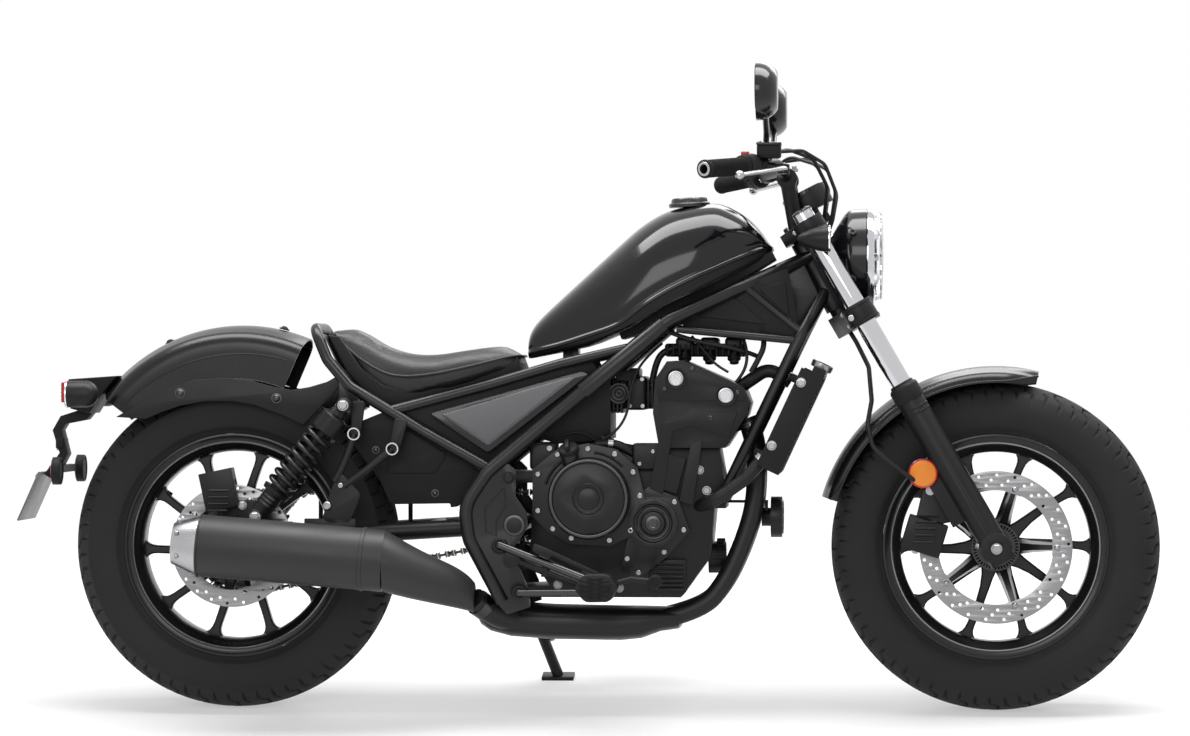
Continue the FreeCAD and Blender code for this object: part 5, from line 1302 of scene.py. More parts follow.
def makeSideCovers():
    parts = []
    for side in (1, -1):
        border = rounded(sideCover["corners"], 9, 5)
        low, high = sideCover["low"], sideCover["high"]
        add(parts, glossTrim, sidePlate("coverBorder", [border], side, low, high - 3, 2.4, 3))
        panel = rounded([(414, 577), (507, 516), (676, 648), (664, 650)], 7, 5)
        add(parts, coverPaint, sidePlate("coverPanel", [panel], side, low + 6, high + 0.5, 3.2, 4))
        line = [(424, side * 127.2, 577), (508, side * 127.2, 524), (656, side * 127.2, 640)]
        add(parts, coverPaint, swept("coverLine", line, 0.9, "POLY", smooth=1))
    return fit(join("sideCovers", parts), "chassis", ["side_covers"])


def makeBatteryBox():
    tray = block("tray", (325, -94, 413), (430, 69, 460), 7, 3)
    lid = block("lid", (323, -95, 462), (431, 70, 523), 7, 3)
    seal = block("seal", (328, -90, 455), (427, 66, 468), 1)
    tab = block("tab", (410, -112, 509), (426, -92, 521), 1.5)
    parts = [paint(piece, mouldedBlack) for piece in (tray, lid, seal, tab)]
    return fit(join("batteryBox", parts), "chassis", ["battery_box"])


makeSideCovers()
makeBatteryBox()
print("fenders and covers done")


# CAD forms that keep their shape and get rounded edges
bodyOf = {node: body for body, names in frame["record"]["behaviour"]["bodies"].items()
          for node in names}


def softened(name, width, segments, limit):
    mesh = allNodes[name].data.copy()
    mesh.transform(standMatrix.inverted() @ allNodes[name].matrix_world)
    piece = placed(name + "Soft", mesh)
    edit = bmesh.new()
    edit.from_mesh(mesh)
    bmesh.ops.remove_doubles(edit, verts=edit.verts, dist=0.01)
    bmesh.ops.dissolve_limit(edit, angle_limit=math.radians(0.6), verts=edit.verts, edges=edit.edges)
    edit.to_mesh(mesh)
    edit.free()
    return bevel(piece, width, segments, limit)


def soft(name, material, width=1.5, segments=2, limit=35):
    # the first of a node's pieces: its own form with rounded edges
    return [paint(softened(name, width, segments, limit), material)]


def paintWhere(piece, material, test):
    # gives the faces whose middle passes the test their own material
    piece.data.materials.append(material)
    slot = len(piece.data.materials) - 1
    for face in piece.data.polygons:
        if test(face.center, face.normal):
            face.material_index = slot
    return piece


def stand(name, parts, limit=35):
    # the finished pieces in place of the CAD node, on its body
    whole = join(name + "Shown", parts) if len(parts) > 1 else parts[0]
    return fit(whole, bodyOf[name], [name], limit)


def softNode(name, material, width=1.5, extra=(), limit=35):
    return stand(name, [*soft(name, material, width), *extra], limit)


def rightSide(name, places, y, material=zincSteel, kind="socket"):
    return boltSet(name, [((x, y, z), (0, -1, 0), size / 5) for x, z, size in places], material, kind)


# engine
engineSizes = {
    "clutch": (703, 415), "crank": (827, 367), "leftCover": (830, 372),
    "clutchFace": -119, "crankFace": -112,
    "clutchBolts": [(641, 500), (603, 462), (603, 391), (632, 356), (668, 338), (742, 334),
        (783, 353), (801, 420), (788, 466), (752, 501), (700, 511)],
    "crankBolts": [(868, 408), (886, 354), (848, 311), (798, 271), (776, 298)],
    "headBolts": [(849, 628), (902, 667), (990, 620), (938, 571)],
    "fins": {"count": 7, "step": 8.4, "low": 236, "back": 822, "front": 886},
}


def coverRing(name, centre, y, radius, wide, tall, material):
    x, z = centre
    profile = [(-2, radius - wide), (tall * 0.7, radius - wide), (tall, radius - wide / 2),
        (tall * 0.7, radius), (-2, radius), (-2, radius - wide)]
    return paint(turned(name, profile, (x, y, z), (0, -1, 0), 72), material)


def makeEngineCovers():
    sizes = engineSizes
    parts = soft("engine_covers", engineCover, 2.4, 3, 30)
    x, z = sizes["clutch"]
    parts.append(coverRing("clutchTrim", (x, z), -150, 76, 5, 1.6, darkSteel))
    parts.append(coverRing("clutchInner", (x, z), -149, 30, 3, 3.4, engineCover))
    add(parts, engineCover, turned("clutchBoss", [(0, 0), (0, 22), (2.4, 21), (4.2, 16), (4.6, 0)],
        (x, -149, z), (0, -1, 0), 64))
    parts.append(rightSide("clutchBolts", [(*place, 5.2) for place in sizes["clutchBolts"]],
        sizes["clutchFace"]))
    parts.append(rightSide("crankBolts", [(*place, 5) for place in sizes["crankBolts"]],
        sizes["crankFace"]))
    x, z = sizes["crank"]
    parts.append(coverRing("crankTrim", (x, z), -121, 31, 3, 3.0, darkSteel))
    add(parts, darkSteel, turned("crankPlug", [(0, 0), (0, 15), (2, 14.2), (3, 9), (2.2, 8), (2.2, 0)],
        (x, -121, z), (0, -1, 0), 48))
    for start, last in ((118, 162), (44, 84)):
        arc = [(703 + across, -121, 415 + up) for across, up in (polar(90, angle)
            for angle in range(start, last + 1, 4))]
        add(parts, engineCover, swept("housingRib", arc, 2.6, "POLY", 3))
    along = Vector((-8, -24, 35)).normalized()
    foot = Vector((672, -118, 475)) + along * 36
    knob = [(0, 0), (0, 18), (3, 19.5), (11, 19.5), (13, 18), (13, 0)]
    add(parts, mouldedBlack, turned("fillerKnob", knob, foot, along, 40),
        move(block("fillerTab", (-4, -14, 0), (4, 14, 12), 2.2), turnTo(along, foot + along * 12)))
    x, z = sizes["leftCover"]
    for index in range(8):
        across, up = polar(70, 22 + 45 * index)
        parts.append(boltSet("leftBolts", [((x + across, 136, z + up), (0, 1, 0), 1)]))
    add(parts, engineCover, turned("leftCap", [(0, 0), (0, 34), (3, 32), (4, 26), (3, 24), (3, 0)],
        (x, 136, z), (0, 1, 0), 64))
    return stand("engine_covers", parts, 32)


def makeCrankcase():
    sizes = engineSizes["fins"]
    case = paint(softened("crankcase", 2.2, 2, 30), castCoat)
    fin = block("caseFin", (sizes["back"], -110, sizes["low"]), (sizes["front"], -94, sizes["low"] + 3.4),
        0.9, 1)
    fins = row("caseFins", fin, sizes["count"], (0, 0, sizes["step"]), castCoat)
    body = paint(block("regulator", (818, -101, 232), (890, -93, 296), 2), castCoat)
    parts = [case, fins, body, rightSide("caseBolts", [(640, 246, 6), (700, 238, 6), (760, 240, 6),
        (612, 300, 6), (916, 470, 6), (930, 430, 6)], -95, zincSteel, "hex")]
    drain = turned("drainPlug", [(0, 0), (0, 12), (5, 12), (6, 9), (6, 0)], (700, -40, 222), (0, 0, -1), 6)
    add(parts, zincSteel, drain)
    flutes = around("filterFlutes", block("flute", (29, -32, -1.2), (32.2, -16, 1.2), 0.6, 1), 28,
        mouldedBlack)
    move(flutes, Matrix.Translation((930, 0, 302)) @ spin(90, "Z"))
    parts.append(flutes)
    return stand("crankcase", parts, 32)


def makeCylinders():
    parts = soft("cylinders", castCoat, 2.0, 3, 25)
    parts.append(rightSide("headBolts", [(*place, 4.4) for place in engineSizes["headBolts"]], -114.5,
        darkSteel))
    for low, high, deep, size in ((466, 474, 84, 8), (484, 560, 108, 4), (500, 548, 112, 3)):
        rib = block("cylinderRib", (838, -deep, low), (846, -deep + size, high), 1.4)
        add(parts, castCoat, rib)
    for x, z in ((871, 648), (968, 615)):
        parts.append(coverRing("plugRing", (x, z), -118.5, 21, 4, 2.4, castCoat))
        profile = [(-2, 0), (-2, 15), (1.6, 14.4), (2.2, 12), (1.2, 11.2), (1.2, 0)]
        add(parts, brushedAlloy, turned("headPlug", profile, (x, -118.5, z), (0, -1, 0), 40))
    return stand("cylinders", parts, 30)


makeEngineCovers()
makeCrankcase()
makeCylinders()
print("engine done")


# radiator, its fins and hoses
radiatorSizes = {"place": (1093, 0, 566), "tilt": 25, "fins": 46, "tubes": 15}


def makeRadiator():
    sizes = radiatorSizes
    frameOf = Matrix.Translation(sizes["place"]) @ spin(sizes["tilt"])
    parts = soft("radiator", mouldedBlack, 3.0, 3, 40)
    step = 200 / sizes["fins"]
    for x in (22.6, -5.4):
        fin = block("coreFin", (x, -126, -99), (x + 2.6, 126, -98.2), 0.1, 1)
        parts.append(move(row("coreFins", fin, sizes["fins"], (0, 0, step), coreFins), frameOf))
    pipe = block("coreTube", (22, -127, -100), (24.2, -125, 100), 0.4, 1)
    parts.append(move(row("coreTubes", pipe, sizes["tubes"], (0, 18, 0), mouldedBlack), frameOf))
    neck = turned("fillerNeck", [(0, 0), (0, 21), (4, 22), (12, 22), (14, 19), (14, 0)], (10, -70, 114),
        (0, 0, 1), 40)
    parts.append(move(paint(neck, zincSteel), frameOf))
    places = [((-12, -150, level), (0, -1, 0), 1.3) for level in (76, -58)]
    places += [((-12, 150, level), (0, 1, 0), 1.3) for level in (76, -58)]
    parts.append(move(boltSet("tankBolts", places, zincSteel, "hex"), frameOf))
    return stand("radiator", parts, 35)


makeRadiator()


def hoseClamp(name, point, along, radius):
    profile = hoop(-5, 5, radius, radius + 1.4)
    return paint(turned(name, profile, point, Vector(along).normalized(), 40), zincSteel)


softNode("coolant_hoses", hoseRubber, 0.6, [
    hoseClamp("lowClamp", (1036, -120, 493), (-42, 0, -46), 13),
    hoseClamp("highClamp", (1082, -46, 649), (-44, 0, 28), 13)], 40)
softNode("horn", satinBlack, 1.6, [
    paint(turned("hornFace", [(0, 34), (3, 33), (3, 28), (0.5, 27), (0.5, 8), (3, 7), (3, 0)],
                 (1074, 0, 376), (1, 0, 0), 56), darkSteel)])


# exhaust
mufflerSizes = {"last": (-46, -202, 325), "first": (312, -202, 296), "radius": 60}


def makeMuffler():
    sizes = mufflerSizes
    last, first = Vector(sizes["last"]), Vector(sizes["first"])
    along = (last - first).normalized()
    body = paint(softened("muffler", 2.0, 3, 28), mufflerBlack)
    paintWhere(body, brushedAlloy, lambda centre, normal: (centre - last).dot(along) > -1.0)
    parts = [body]
    for distance, tall, wide in ((0, 1.6, 5), (-318, 1.8, 8)):
        ringAt = last + along * distance
        radius = sizes["radius"]
        profile = [(-wide / 2, radius - 1), (-wide / 2 + 1, radius + tall), (wide / 2 - 1, radius + tall),
            (wide / 2, radius - 1), (-wide / 2, radius - 1)]
        add(parts, mufflerBlack, turned("bodyRing", profile, ringAt, along, 96))
    inner = last + along * 20
    add(parts, darkSteel, turned("outletPipe", [(0, 14), (33, 14), (33, 16.5), (0, 16.5), (0, 14)], inner,
        along, 48))
    add(parts, pipeBlack, turned("outletPlate", [(0, 0), (0, 24), (2, 24), (2, 0)], inner, along, 48))
    places = []
    for index in range(6):
        angle = math.radians(30 + 60 * index)
        offset = Vector((0, math.cos(angle), math.sin(angle))) * 45
        places.append((last + along * 40 + offset, along + Vector((0, math.cos(angle),
            math.sin(angle))) * 0.3, 0.9))
    parts.append(boltSet("tipBolts", places, zincSteel))
    return stand("muffler", parts, 30)


exhaustSizes = {
    "header": [(1006, 40, 570), (1024, 40, 524), (1025, 44, 436), (1017, 46, 379), (993, 48, 310),
        (962, 52, 246), (920, 60, 198), (850, 64, 180)],
    "collector": [(478, 176, 208, 50), (486, 164, 212, 72), (505, 152, 214, 88), (545, 142, 208, 98),
        (620, 137, 203, 102), (760, 135, 200, 102), (800, 139, 200, 100), (838, 153, 199, 90),
        (872, 158, 199, 84), (876, 161, 197, 82)],
    "link": [(590, -60, 172), (540, -84, 178), (505, -106, 194), (480, -134, 220)],
}


def makeExhaustPipes():
    sizes = exhaustSizes
    rings = [ovalLoop(x, 0, (low + high) / 2, half, (high - low) / 2, 0.62, 40)
        for x, low, high, half in sizes["collector"]]
    parts = [paint(lofted("collector", rings), pipeBlack)]
    for side in (1, -1):
        route = [(x, side * y, z) for x, y, z in sizes["header"]]
        add(parts, pipeBlack, swept("header", route, 19, sides=8, smooth=14))
        start = Vector(route[0]) + Vector((5, 0, -12))
        profile = hoop(-5, 5, 18, 29)
        add(parts, darkSteel, turned("portFlange", profile, start, (0.36, 0, -0.93), 48))
        parts.append(boltSet("portBolts", [(start + Vector((4, turn * 24, 2)), (0.36, 0, -0.93), 1.2)
            for turn in (1, -1)], zincSteel, "hex"))
    add(parts, pipeBlack, swept("linkPipe", sizes["link"], 23, sides=8))
    band = hoop(-10, 10, 22.5, 26)
    add(parts, darkSteel, turned("linkClamp", band, (492, -118, 208), (-0.62, -0.6, 0.5), 48))
    return stand("exhaust_pipes", parts, 40)


makeMuffler()
makeExhaustPipes()


# muffler stays
staySizes = {"plate": [(186, 376), (196, 366), (240, 366), (262, 424), (221, 466), (206, 440)],
    "bars": [[(210, -154, 448), (232, -152, 484), (247, -146, 540)],
        [(228, -154, 438), (268, -150, 466), (322, -146, 511)]],
    "lugs": [[(238, 530), (256, 530), (266, 604), (240, 604)],
        [(312, 504), (332, 504), (350, 566), (324, 572)]]}


def makePegBracket():
    sizes = staySizes
    parts = [plate("hangerPlate", [rounded(sizes["plate"], 7, 4)], -158, -150, 1.4, 2),
        block("heatStrip", (151, -158, 340), (251, -150, 376), 1.6)]
    for route, lug in zip(sizes["bars"], sizes["lugs"]):
        parts.append(swept("stayBar", route, 7.5))
        parts.append(plate("stayLug", [rounded(lug, 6, 3)], -128, -116, 1.2, 2))
        x, y, z = route[-1]
        parts.append(turned("stayRing", [(0, 0), (0, 13), (24, 13), (25, 12), (25, 9.5), (19, 8.6),
            (19, 0)], (x, y + 16, z), (0, -1, 0), 40))
    parts = [paint(piece, satinBlack) for piece in parts]
    for x, y, z in (route[-1] for route in sizes["bars"]):
        add(parts, brushedAlloy, turned("stayRim", [(-2, 9.4), (-2, 12.6), (0.6, 12.2), (0.6, 9.8),
            (-2, 9.4)], (x, y - 9, z), (0, -1, 0), 40))
    parts.append(rightSide("hangerBolts", [(196, 401, 8), (222, 440, 5)], -158))
    return stand("peg_bracket", parts)


makePegBracket()
print("exhaust and cooling done")


# frame and running gear with rounded edges
softNode("main_frame", framePaint, 1.6, [
    boltSet("plateBolts", [((x, side * 143.5, z), (0, side, 0), 1.6) for x, z in
                           ((548, 455), (566, 232)) for side in (1, -1)], satinBlack, "hex"),
    *[paint(swept("plateLine", [(x, side * 143.4, z) for x, z in
                                ((540, 436), (502, 396), (504, 350), (524, 343), (524, 372), (542, 400))],
                  1.6, "POLY", 2, closed=True), framePaint) for side in (1, -1)]], 40)
softNode("rear_subframe", framePaint, 1.2, limit=40)
softNode("swingarm", satinBlack, 2.0, [
    paint(turned("pivotRing", [(0, 9), (0, 21), (3, 20), (4, 16), (3, 9), (0, 9)],
                 (559, side * 143.4, 363), (0, side, 0), 48), darkSteel) for side in (1, -1)], 40)


# throttle body, its boots and cables between the air box and the head
def makeIntake():
    parts = soft("airbox", mouldedBlack, 3.0)
    parts += [coverRing("throttleRing", (758, 619), -83.5, radius, 2.5, 1.8, darkSteel)
        for radius in (20, 13, 6)]
    add(parts, castCoat, block("throttleBody", (770, -72, 586), (812, 72, 652), 8, 3),
        block("fuelRail", (776, -66, 650), (796, 66, 668), 5, 3))
    add(parts, mouldedBlack, block("sensor", (752, -80, 642), (792, -58, 664), 4, 2))
    boot = block("bootRib", (744, -70, 580), (749, 70, 650), 2)
    parts.append(row("bootRibs", boot, 3, (8, 0, 0), hoseRubber))
    parts.append(row("headBoots", block("bootRib", (812, -66, 590), (817, 66, 645), 2), 2, (8, 0, 0),
        hoseRubber))
    bolts = [((x, -72.5, z), (0, -1, 0), 0.9) for x, z in ((779, 646), (803, 646), (804, 594), (779, 594))]
    parts.append(boltSet("throttleBolts", bolts))
    routes = {"idleCable": (2.6, [(842, -70, 716), (812, -84, 690), (790, -92, 656), (780, -94, 620),
                                  (776, -94, 580), (756, -96, 546), (722, -96, 525), (694, -92, 512)]),
              "thinWire": (1.6, [(640, -88, 534), (668, -98, 544), (700, -99, 540), (716, -96, 524)]),
              "breather": (7.5, [(720, -60, 586), (716, -76, 548), (736, -82, 520), (770, -80, 514),
                                 (800, -70, 508)]),
              "harness": (6.5, [(880, -60, 712), (846, -66, 704), (828, -66, 676), (822, -60, 640)])}
    for name, (radius, route) in routes.items():
        add(parts, hoseRubber, swept(name, route, radius))
    return stand("airbox", parts)


makeIntake()
softNode("frame_panels", mouldedBlack, 1.0, [
    piece for corners in ([(906, 769), (984, 806), (1046, 752)], [(1030, 822), (1082, 838), (1090, 768)])
    for piece in bothSides(paint(plate("panelRise", [rounded(corners, 9)], -87, -83, 1.2), mouldedBlack))])
softNode("chain_guard", mouldedBlack, 1.4)
softNode("front_axle", zincSteel, 1.2)
softNode("rear_axle", zincSteel, 1.2)


# fork
forkSizes = {"spread": 115, "seal": 360, "leg": 27, "tube": 20.5}


def alongFork(point):
    return forkMatrix @ Vector(point)


def forkTurned(name, profile, side, level, material, steps=64):
    piece = turned(name, profile, (0, side * forkSizes["spread"], level), (0, 0, 1), steps)
    return move(paint(piece, material), forkMatrix)


def makeForkLowers():
    leg = forkSizes["leg"]
    parts = soft("fork_lowers", satinBlack, 2.2, 3, 32)
    for side in (1, -1):
        seal = [(-30, leg - 1), (-30, leg + 1.6), (-26, leg + 2.4), (-4, leg + 2.4), (0, leg + 1), (3, 24),
            (7, 23), (8, 20.7), (-30, 20.7), (-30, leg - 1)]
        parts.append(forkTurned("dustSeal", seal, side, forkSizes["seal"], mouldedBlack))
        groove = [(0, leg - 0.6), (1.2, leg + 0.7), (3.8, leg + 0.7), (5, leg - 0.6), (0, leg - 0.6)]
        for level in (300, 310):
            parts.append(forkTurned("legBand", groove, side, level, satinBlack))
        eye = alongFork((-50, side * 121, 196))
        rim = [(-2, 0), (-2, 28.5), (7, 28.5), (8.4, 27), (8, 25.4), (5, 25), (5, 0)]
        add(parts, redLens, turned("reflexRim", rim, eye, (0, side, 0), 56))
        lens = [(4, 0), (4, 25.3), (8, 25), (9, 22), (9.4, 0)]
        add(parts, amberLens, turned("reflexLens", lens, eye, (0, side, 0), 56))
        stay = plate("reflexStay", [rounded([(-64, 176), (-20, 170), (-20, 210), (-64, 214)], 8)],
            side * 112, side * 119, 1.2)
        parts.append(move(paint(stay, satinBlack), forkMatrix))
        parts.append(boltSet("legBolts", [(alongFork((0, side * 148, 0)), (0, side, 0), 1.5),
            (alongFork((-27, side * 115, 22)), (-1, 0, 0.2), 1.1)], zincSteel, "hex"))
    return stand("fork_lowers", parts)


def makeForkTubes():
    tube = forkSizes["tube"]
    parts = soft("fork_tubes", chromeTube, 0.6, 2, 40)
    for side in (1, -1):
        cap = [(0, tube - 4), (0, tube), (4, tube), (6, tube - 2), (9, 11), (9, 0)]
        parts.append(forkTurned("forkCap", cap, side, 748, darkSteel, 36))
    return stand("fork_tubes", parts, 40)


def makeYokes():
    parts = soft("fork_yokes", satinBlack, 3.0, 3, 32)
    places = []
    for side in (1, -1):
        for level in (511, 537):
            places.append((alongFork((-31, side * 100, level)), (-0.87, 0, 0.5), 1.1))
        places.append((alongFork((-20, side * 146, 524)), (0, side, 0), 1.2))
        places.append((alongFork((-31, side * 104, 721)), (-0.87, 0, 0.5), 1.1))
        band = [(0, 31.2), (0.8, 32.4), (3.2, 32.4), (4, 31.2), (0, 31.2)]
        for level in (506, 538):
            parts.append(forkTurned("clampBand", band, side, level, satinBlack))
    nut = turned("stemNut", [(0, 0), (0, 17), (9, 17), (11, 14), (11, 9), (9, 8), (9, 0)], (-33, 0, 733),
        (0, 0, 1), 6)
    parts.append(move(paint(nut, zincSteel), forkMatrix))
    parts.append(boltSet("yokeBolts", places, zincSteel))
    return stand("fork_yokes", parts)


def makeFrontCaliper():
    parts = soft("front_caliper", satinBlack, 3.0, 3, 28)
    for x, z in ((1334, 317), (1408, 377), (1368, 448)):
        parts.append(boltSet("caliperBolts", [((x, -111, z), (0, -1, 0), 1.3)], brushedAlloy, "dome"))
    ribs = block("caliperRib", (1330, -123.5, 330), (1372, -119, 334), 1.2, 1)
    parts.append(row("caliperRibs", ribs, 5, (1.6, 0, 13), satinBlack))
    add(parts, zincSteel, rod("banjo", (1363, -112, 431), (1363, -100, 431), 9, 24))
    return stand("front_caliper", parts)


makeForkLowers()
makeForkTubes()
makeYokes()
makeFrontCaliper()
softNode("front_hoses", hoseRubber, 0.4, limit=40)
print("fork done")


# bars, grips and controls
barSizes = {"end": (939, 385, 1042), "bend": (1024, 262, 1054)}
gripEnd = Vector(barSizes["end"])
gripLine = (Vector(barSizes["bend"]) - gripEnd).normalized()


def onSide(point, side):
    return Vector((point.x, point.y * side, point.z))


def gripPoint(side, distance):
    return onSide(gripEnd + gripLine * distance, side)


def makeGrip(side):
    start, along = gripPoint(side, 0), onSide(gripLine, side)
    sleeve = [(-3, 9), (-3, 15.6), (-1.5, 17.6), (3, 17.8)]
    for index in range(26):
        place = 6 + index * 4.1
        sleeve += [(place, 17.1), (place + 0.8, 15.9), (place + 2.4, 15.9), (place + 3.2, 17.1)]
    sleeve += [(114, 17.4), (116, 20.5), (122, 20.5), (124, 17), (124, 11.4), (1, 11.4), (1, 9), (-3, 9)]
    parts = [paint(turned("grip", sleeve, start, along, 40), gripRubber)]
    ring = [(-3.6, 9.2), (-3.6, 13.2), (-2.6, 14), (-2.6, 9.2), (-3.6, 9.2)]
    add(parts, brushedAlloy, turned("gripEndRing", ring, start, along, 40))
    return parts


def leverShape(name, side):
    # a flat tapered blade with a ball at its end
    perch = gripPoint(side, 176)
    pivot = perch + Vector((44, 0, -8))
    end = gripPoint(side, 6) + Vector((62, 0, -12))
    line = smoothLine([pivot, pivot + Vector((-6, side * 60, -3)), end], 15)
    rings = []
    for index, point in enumerate(line):
        share = index / 14
        ahead = (line[min(index + 1, 14)] - line[max(index - 1, 0)]).normalized()
        out = ahead.cross(Vector((0, 0, 1))).normalized()
        half, tall = 8.2 - 2.6 * share, 5.4 - 1.4 * share
        rings.append([point + out * half * math.cos(math.tau * k / 16)
            + Vector((0, 0, tall * math.sin(math.tau * k / 16))) for k in range(16)])
    blade = lofted(name, rings)
    ball = turned("leverBall", [(-9, 0), (-7.8, 4.6), (-4.5, 7.9), (0, 9), (4.5, 7.9), (7.8, 4.6), (9, 0)],
        end, (0, 0, 1), 28)
    bolt = turned("leverBolt", [(-10, 0), (-10, 6), (10, 6), (11.5, 5), (11.5, 0)], pivot, (0, 0, 1), 24)
    return [paint(blade, brushedAlloy), paint(ball, brushedAlloy), paint(bolt, zincSteel)]


def makeControls():
    parts = []
    for side in (1, -1):
        along = onSide(gripLine, side)
        start = gripPoint(side, 125)
        housing = [(0, 11.4), (0, 20), (2, 22.6), (13, 23), (14, 22), (15, 23), (26, 22.6), (28, 20),
            (28, 11.4), (0, 11.4)]
        add(parts, mouldedBlack, turned("switchHousing", housing, start, along, 56))
        collar = hoop(28, 40, 11.4, 13.6)
        add(parts, satinBlack, turned("perchCollar", collar, start, along, 40))
        clamp = [(-12, 11.4), (-12, 14.6), (-10, 16), (10, 16), (12, 14.6), (12, 11.4), (-12, 11.4)]
        perch = gripPoint(side, 176)
        add(parts, satinBlack, turned("perchClamp", clamp, perch, along, 40))
        pivot = perch + Vector((44, 0, -8))
        add(parts, satinBlack, rod("perchArm", perch, pivot, 8.6, 28))
        yoke = turned("perchYoke", [(-9, 0), (-9, 11), (-6, 12), (6, 12), (9, 11), (9, 0)], pivot,
            (0, 0, 1), 32)
        add(parts, satinBlack, yoke)
        parts.append(boltSet("perchBolts", [(perch + Vector((-13, side * 4, 9)), (-0.8, 0, 0.6), 0.9),
            (perch + Vector((-13, side * 4, -9)), (-0.8, 0, -0.6), 0.9)]))
        parts += leverShape("lever", side)
        face = gripPoint(side, 139)
        if side < 0:
            add(parts, redSwitch, move(block("killSwitch", (-15, -7, 20), (1, 7, 27), 2),
                Matrix.Translation(face)))
            add(parts, mouldedBlack, move(block("startSwitch", (-26, -6, -6), (-20, 6, 5), 2),
                Matrix.Translation(face)))
            cup = block("reservoir", (perch.x - 6, perch.y - 34, perch.z + 12),
                (perch.x + 40, perch.y + 18, perch.z + 39), 6, 4)
            lid = block("reservoirLid", (perch.x - 7, perch.y - 35, perch.z + 36),
                (perch.x + 41, perch.y + 19, perch.z + 42), 2, 2)
            parts += [paint(cup, mouldedBlack), paint(lid, glossTrim)]
            parts.append(boltSet("lidBolts", [((perch.x + dx, perch.y + dy, perch.z + 41.6), (0, 0, 1), 0.6)
                for dx, dy in ((0, -28), (34, 12))], zincSteel))
        else:
            for low, high in (((-26, -6, 2), (-20, 6, 9)), ((-26, -8, -9), (-19, 8, -3))):
                add(parts, mouldedBlack, move(block("leftSwitch", low, high, 1.6),
                    Matrix.Translation(face)))
    return stand("hand_controls", parts)


stand("hand_grips", makeGrip(1) + makeGrip(-1), 30)
makeControls()
softNode("handlebar", satinBlack, 1.0, [
    boltSet("clampBolts", [((1085 + dx, side * 58 + dy, 1057), (0, 0, 1), 0.9)
                           for side in (1, -1) for dx in (-14, 14) for dy in (-9, 9)])], 40)
print("bars done")


# mirrors, meter and lamps
def headBox(name, side, floor):
    # the box of the CAD node's vertices on one side, above a level
    turn = standMatrix.inverted() @ allNodes[name].matrix_world
    points = [turn @ vertex.co for vertex in allNodes[name].data.vertices]
    points = [p for p in points if p.y * side > 0 and p.z > floor]
    return (Vector([min(p[k] for p in points) for k in range(3)]),
        Vector([max(p[k] for p in points) for k in range(3)]))


def makeMirrors():
    parts = soft("mirrors", glossTrim, 3.0, 3, 30)
    for side in (1, -1):
        box = mirrorBoxes[side]
        centre = ((box[0][1] + box[1][1]) / 2, (box[0][2] + box[1][2]) / 2)
        half, tall = (box[1][1] - box[0][1]) / 2, (box[1][2] - box[0][2]) / 2
        rings = []
        for x, share in ((-0.4, 0.8), (-1.4, 0.9), (-1.8, 0.86)):
            rings.append(ovalLoop(box[0][0] + x, *centre, half * share, tall * share))
        add(parts, mirrorGlass, lofted("mirrorPane", rings))
    return stand("mirrors", parts, 30)


mirrorBoxes = {side: headBox("mirrors", side, 1150) for side in (1, -1)}
makeMirrors()

headUp = Vector((-math.sin(math.radians(machine["rake"])), 0, math.cos(math.radians(machine["rake"]))))


def makeMeter():
    centre = Vector((1124, 0, 996))
    up = headUp
    parts = soft("instrument", satinBlack, 2.4, 3, 30)
    face = centre + up * 16
    add(parts, glossTrim, turned("meterRim", [(-3, 40), (-3, 46.4), (3, 46.4), (4.4, 44.5), (4, 41),
        (1, 40), (-3, 40)], face, up, 72))
    add(parts, plateGrey, turned("meterFace", [(-1, 0), (-1, 40.5), (0.6, 40.5), (0.6, 0)], face, up, 64))
    ring = around("meterTicks", block("meterTick", (30, -0.5, -0.6), (37, 0.5, 0.6), 0.1, 1), 24,
        lampSilver)
    turn = Vector((0, 1, 0)).rotation_difference(up).to_matrix().to_4x4()
    parts.append(move(ring, Matrix.Translation(face + up * 1.0) @ turn))
    add(parts, redSwitch, rod("meterNeedle", face + up * 1.6,
        face + up * 1.6 + up.cross(Vector((0, 1, 0))) * 30, 0.8, 12))
    add(parts, lampGlass, turned("meterGlass", [(2.4, 0), (2.4, 41), (3.4, 41), (3.4, 0)], face, up, 64))
    return stand("instrument", parts, 30)


lampPlace = Vector((1175, 0, 887))


def lampTurned(name, profile, material):
    return paint(turned(name, profile, lampPlace, (1, 0, 0), 80), material)


def makeHeadlight():
    bowl = [(-12, 0), (-12, 22), (-9, 29), (6, 57), (22, 82), (29, 88.6), (38, 91), (64, 92.4), (65.4, 91),
        (65.4, 84), (60, 80), (60, 0)]
    parts = [lampTurned("lampBowl", bowl, glossTrim)]
    rim = [(66, 84), (66, 92), (67.4, 93), (76, 93), (79.6, 91), (80, 87.6), (76, 86.4), (76, 84), (66, 84)]
    parts.append(lampTurned("lampRim", rim, chromeTube))
    places = [(lampPlace + Vector((38, side * 80, level * 43)), (0, side * 0.88, level * 0.47), 1.3)
        for side in (1, -1) for level in (1, -1)]
    parts.append(boltSet("lampBolts", places, darkSteel))
    neck = block("lampNeck", (1158, -34, 862), (1184, 34, 912), 6, 3)
    add(parts, satinBlack, neck)
    for side in (1, -1):
        add(parts, satinBlack, rod("lampArm", (1172, side * 30, 887), (1172, side * 98, 887), 9))
    return stand("headlight", parts, 30)


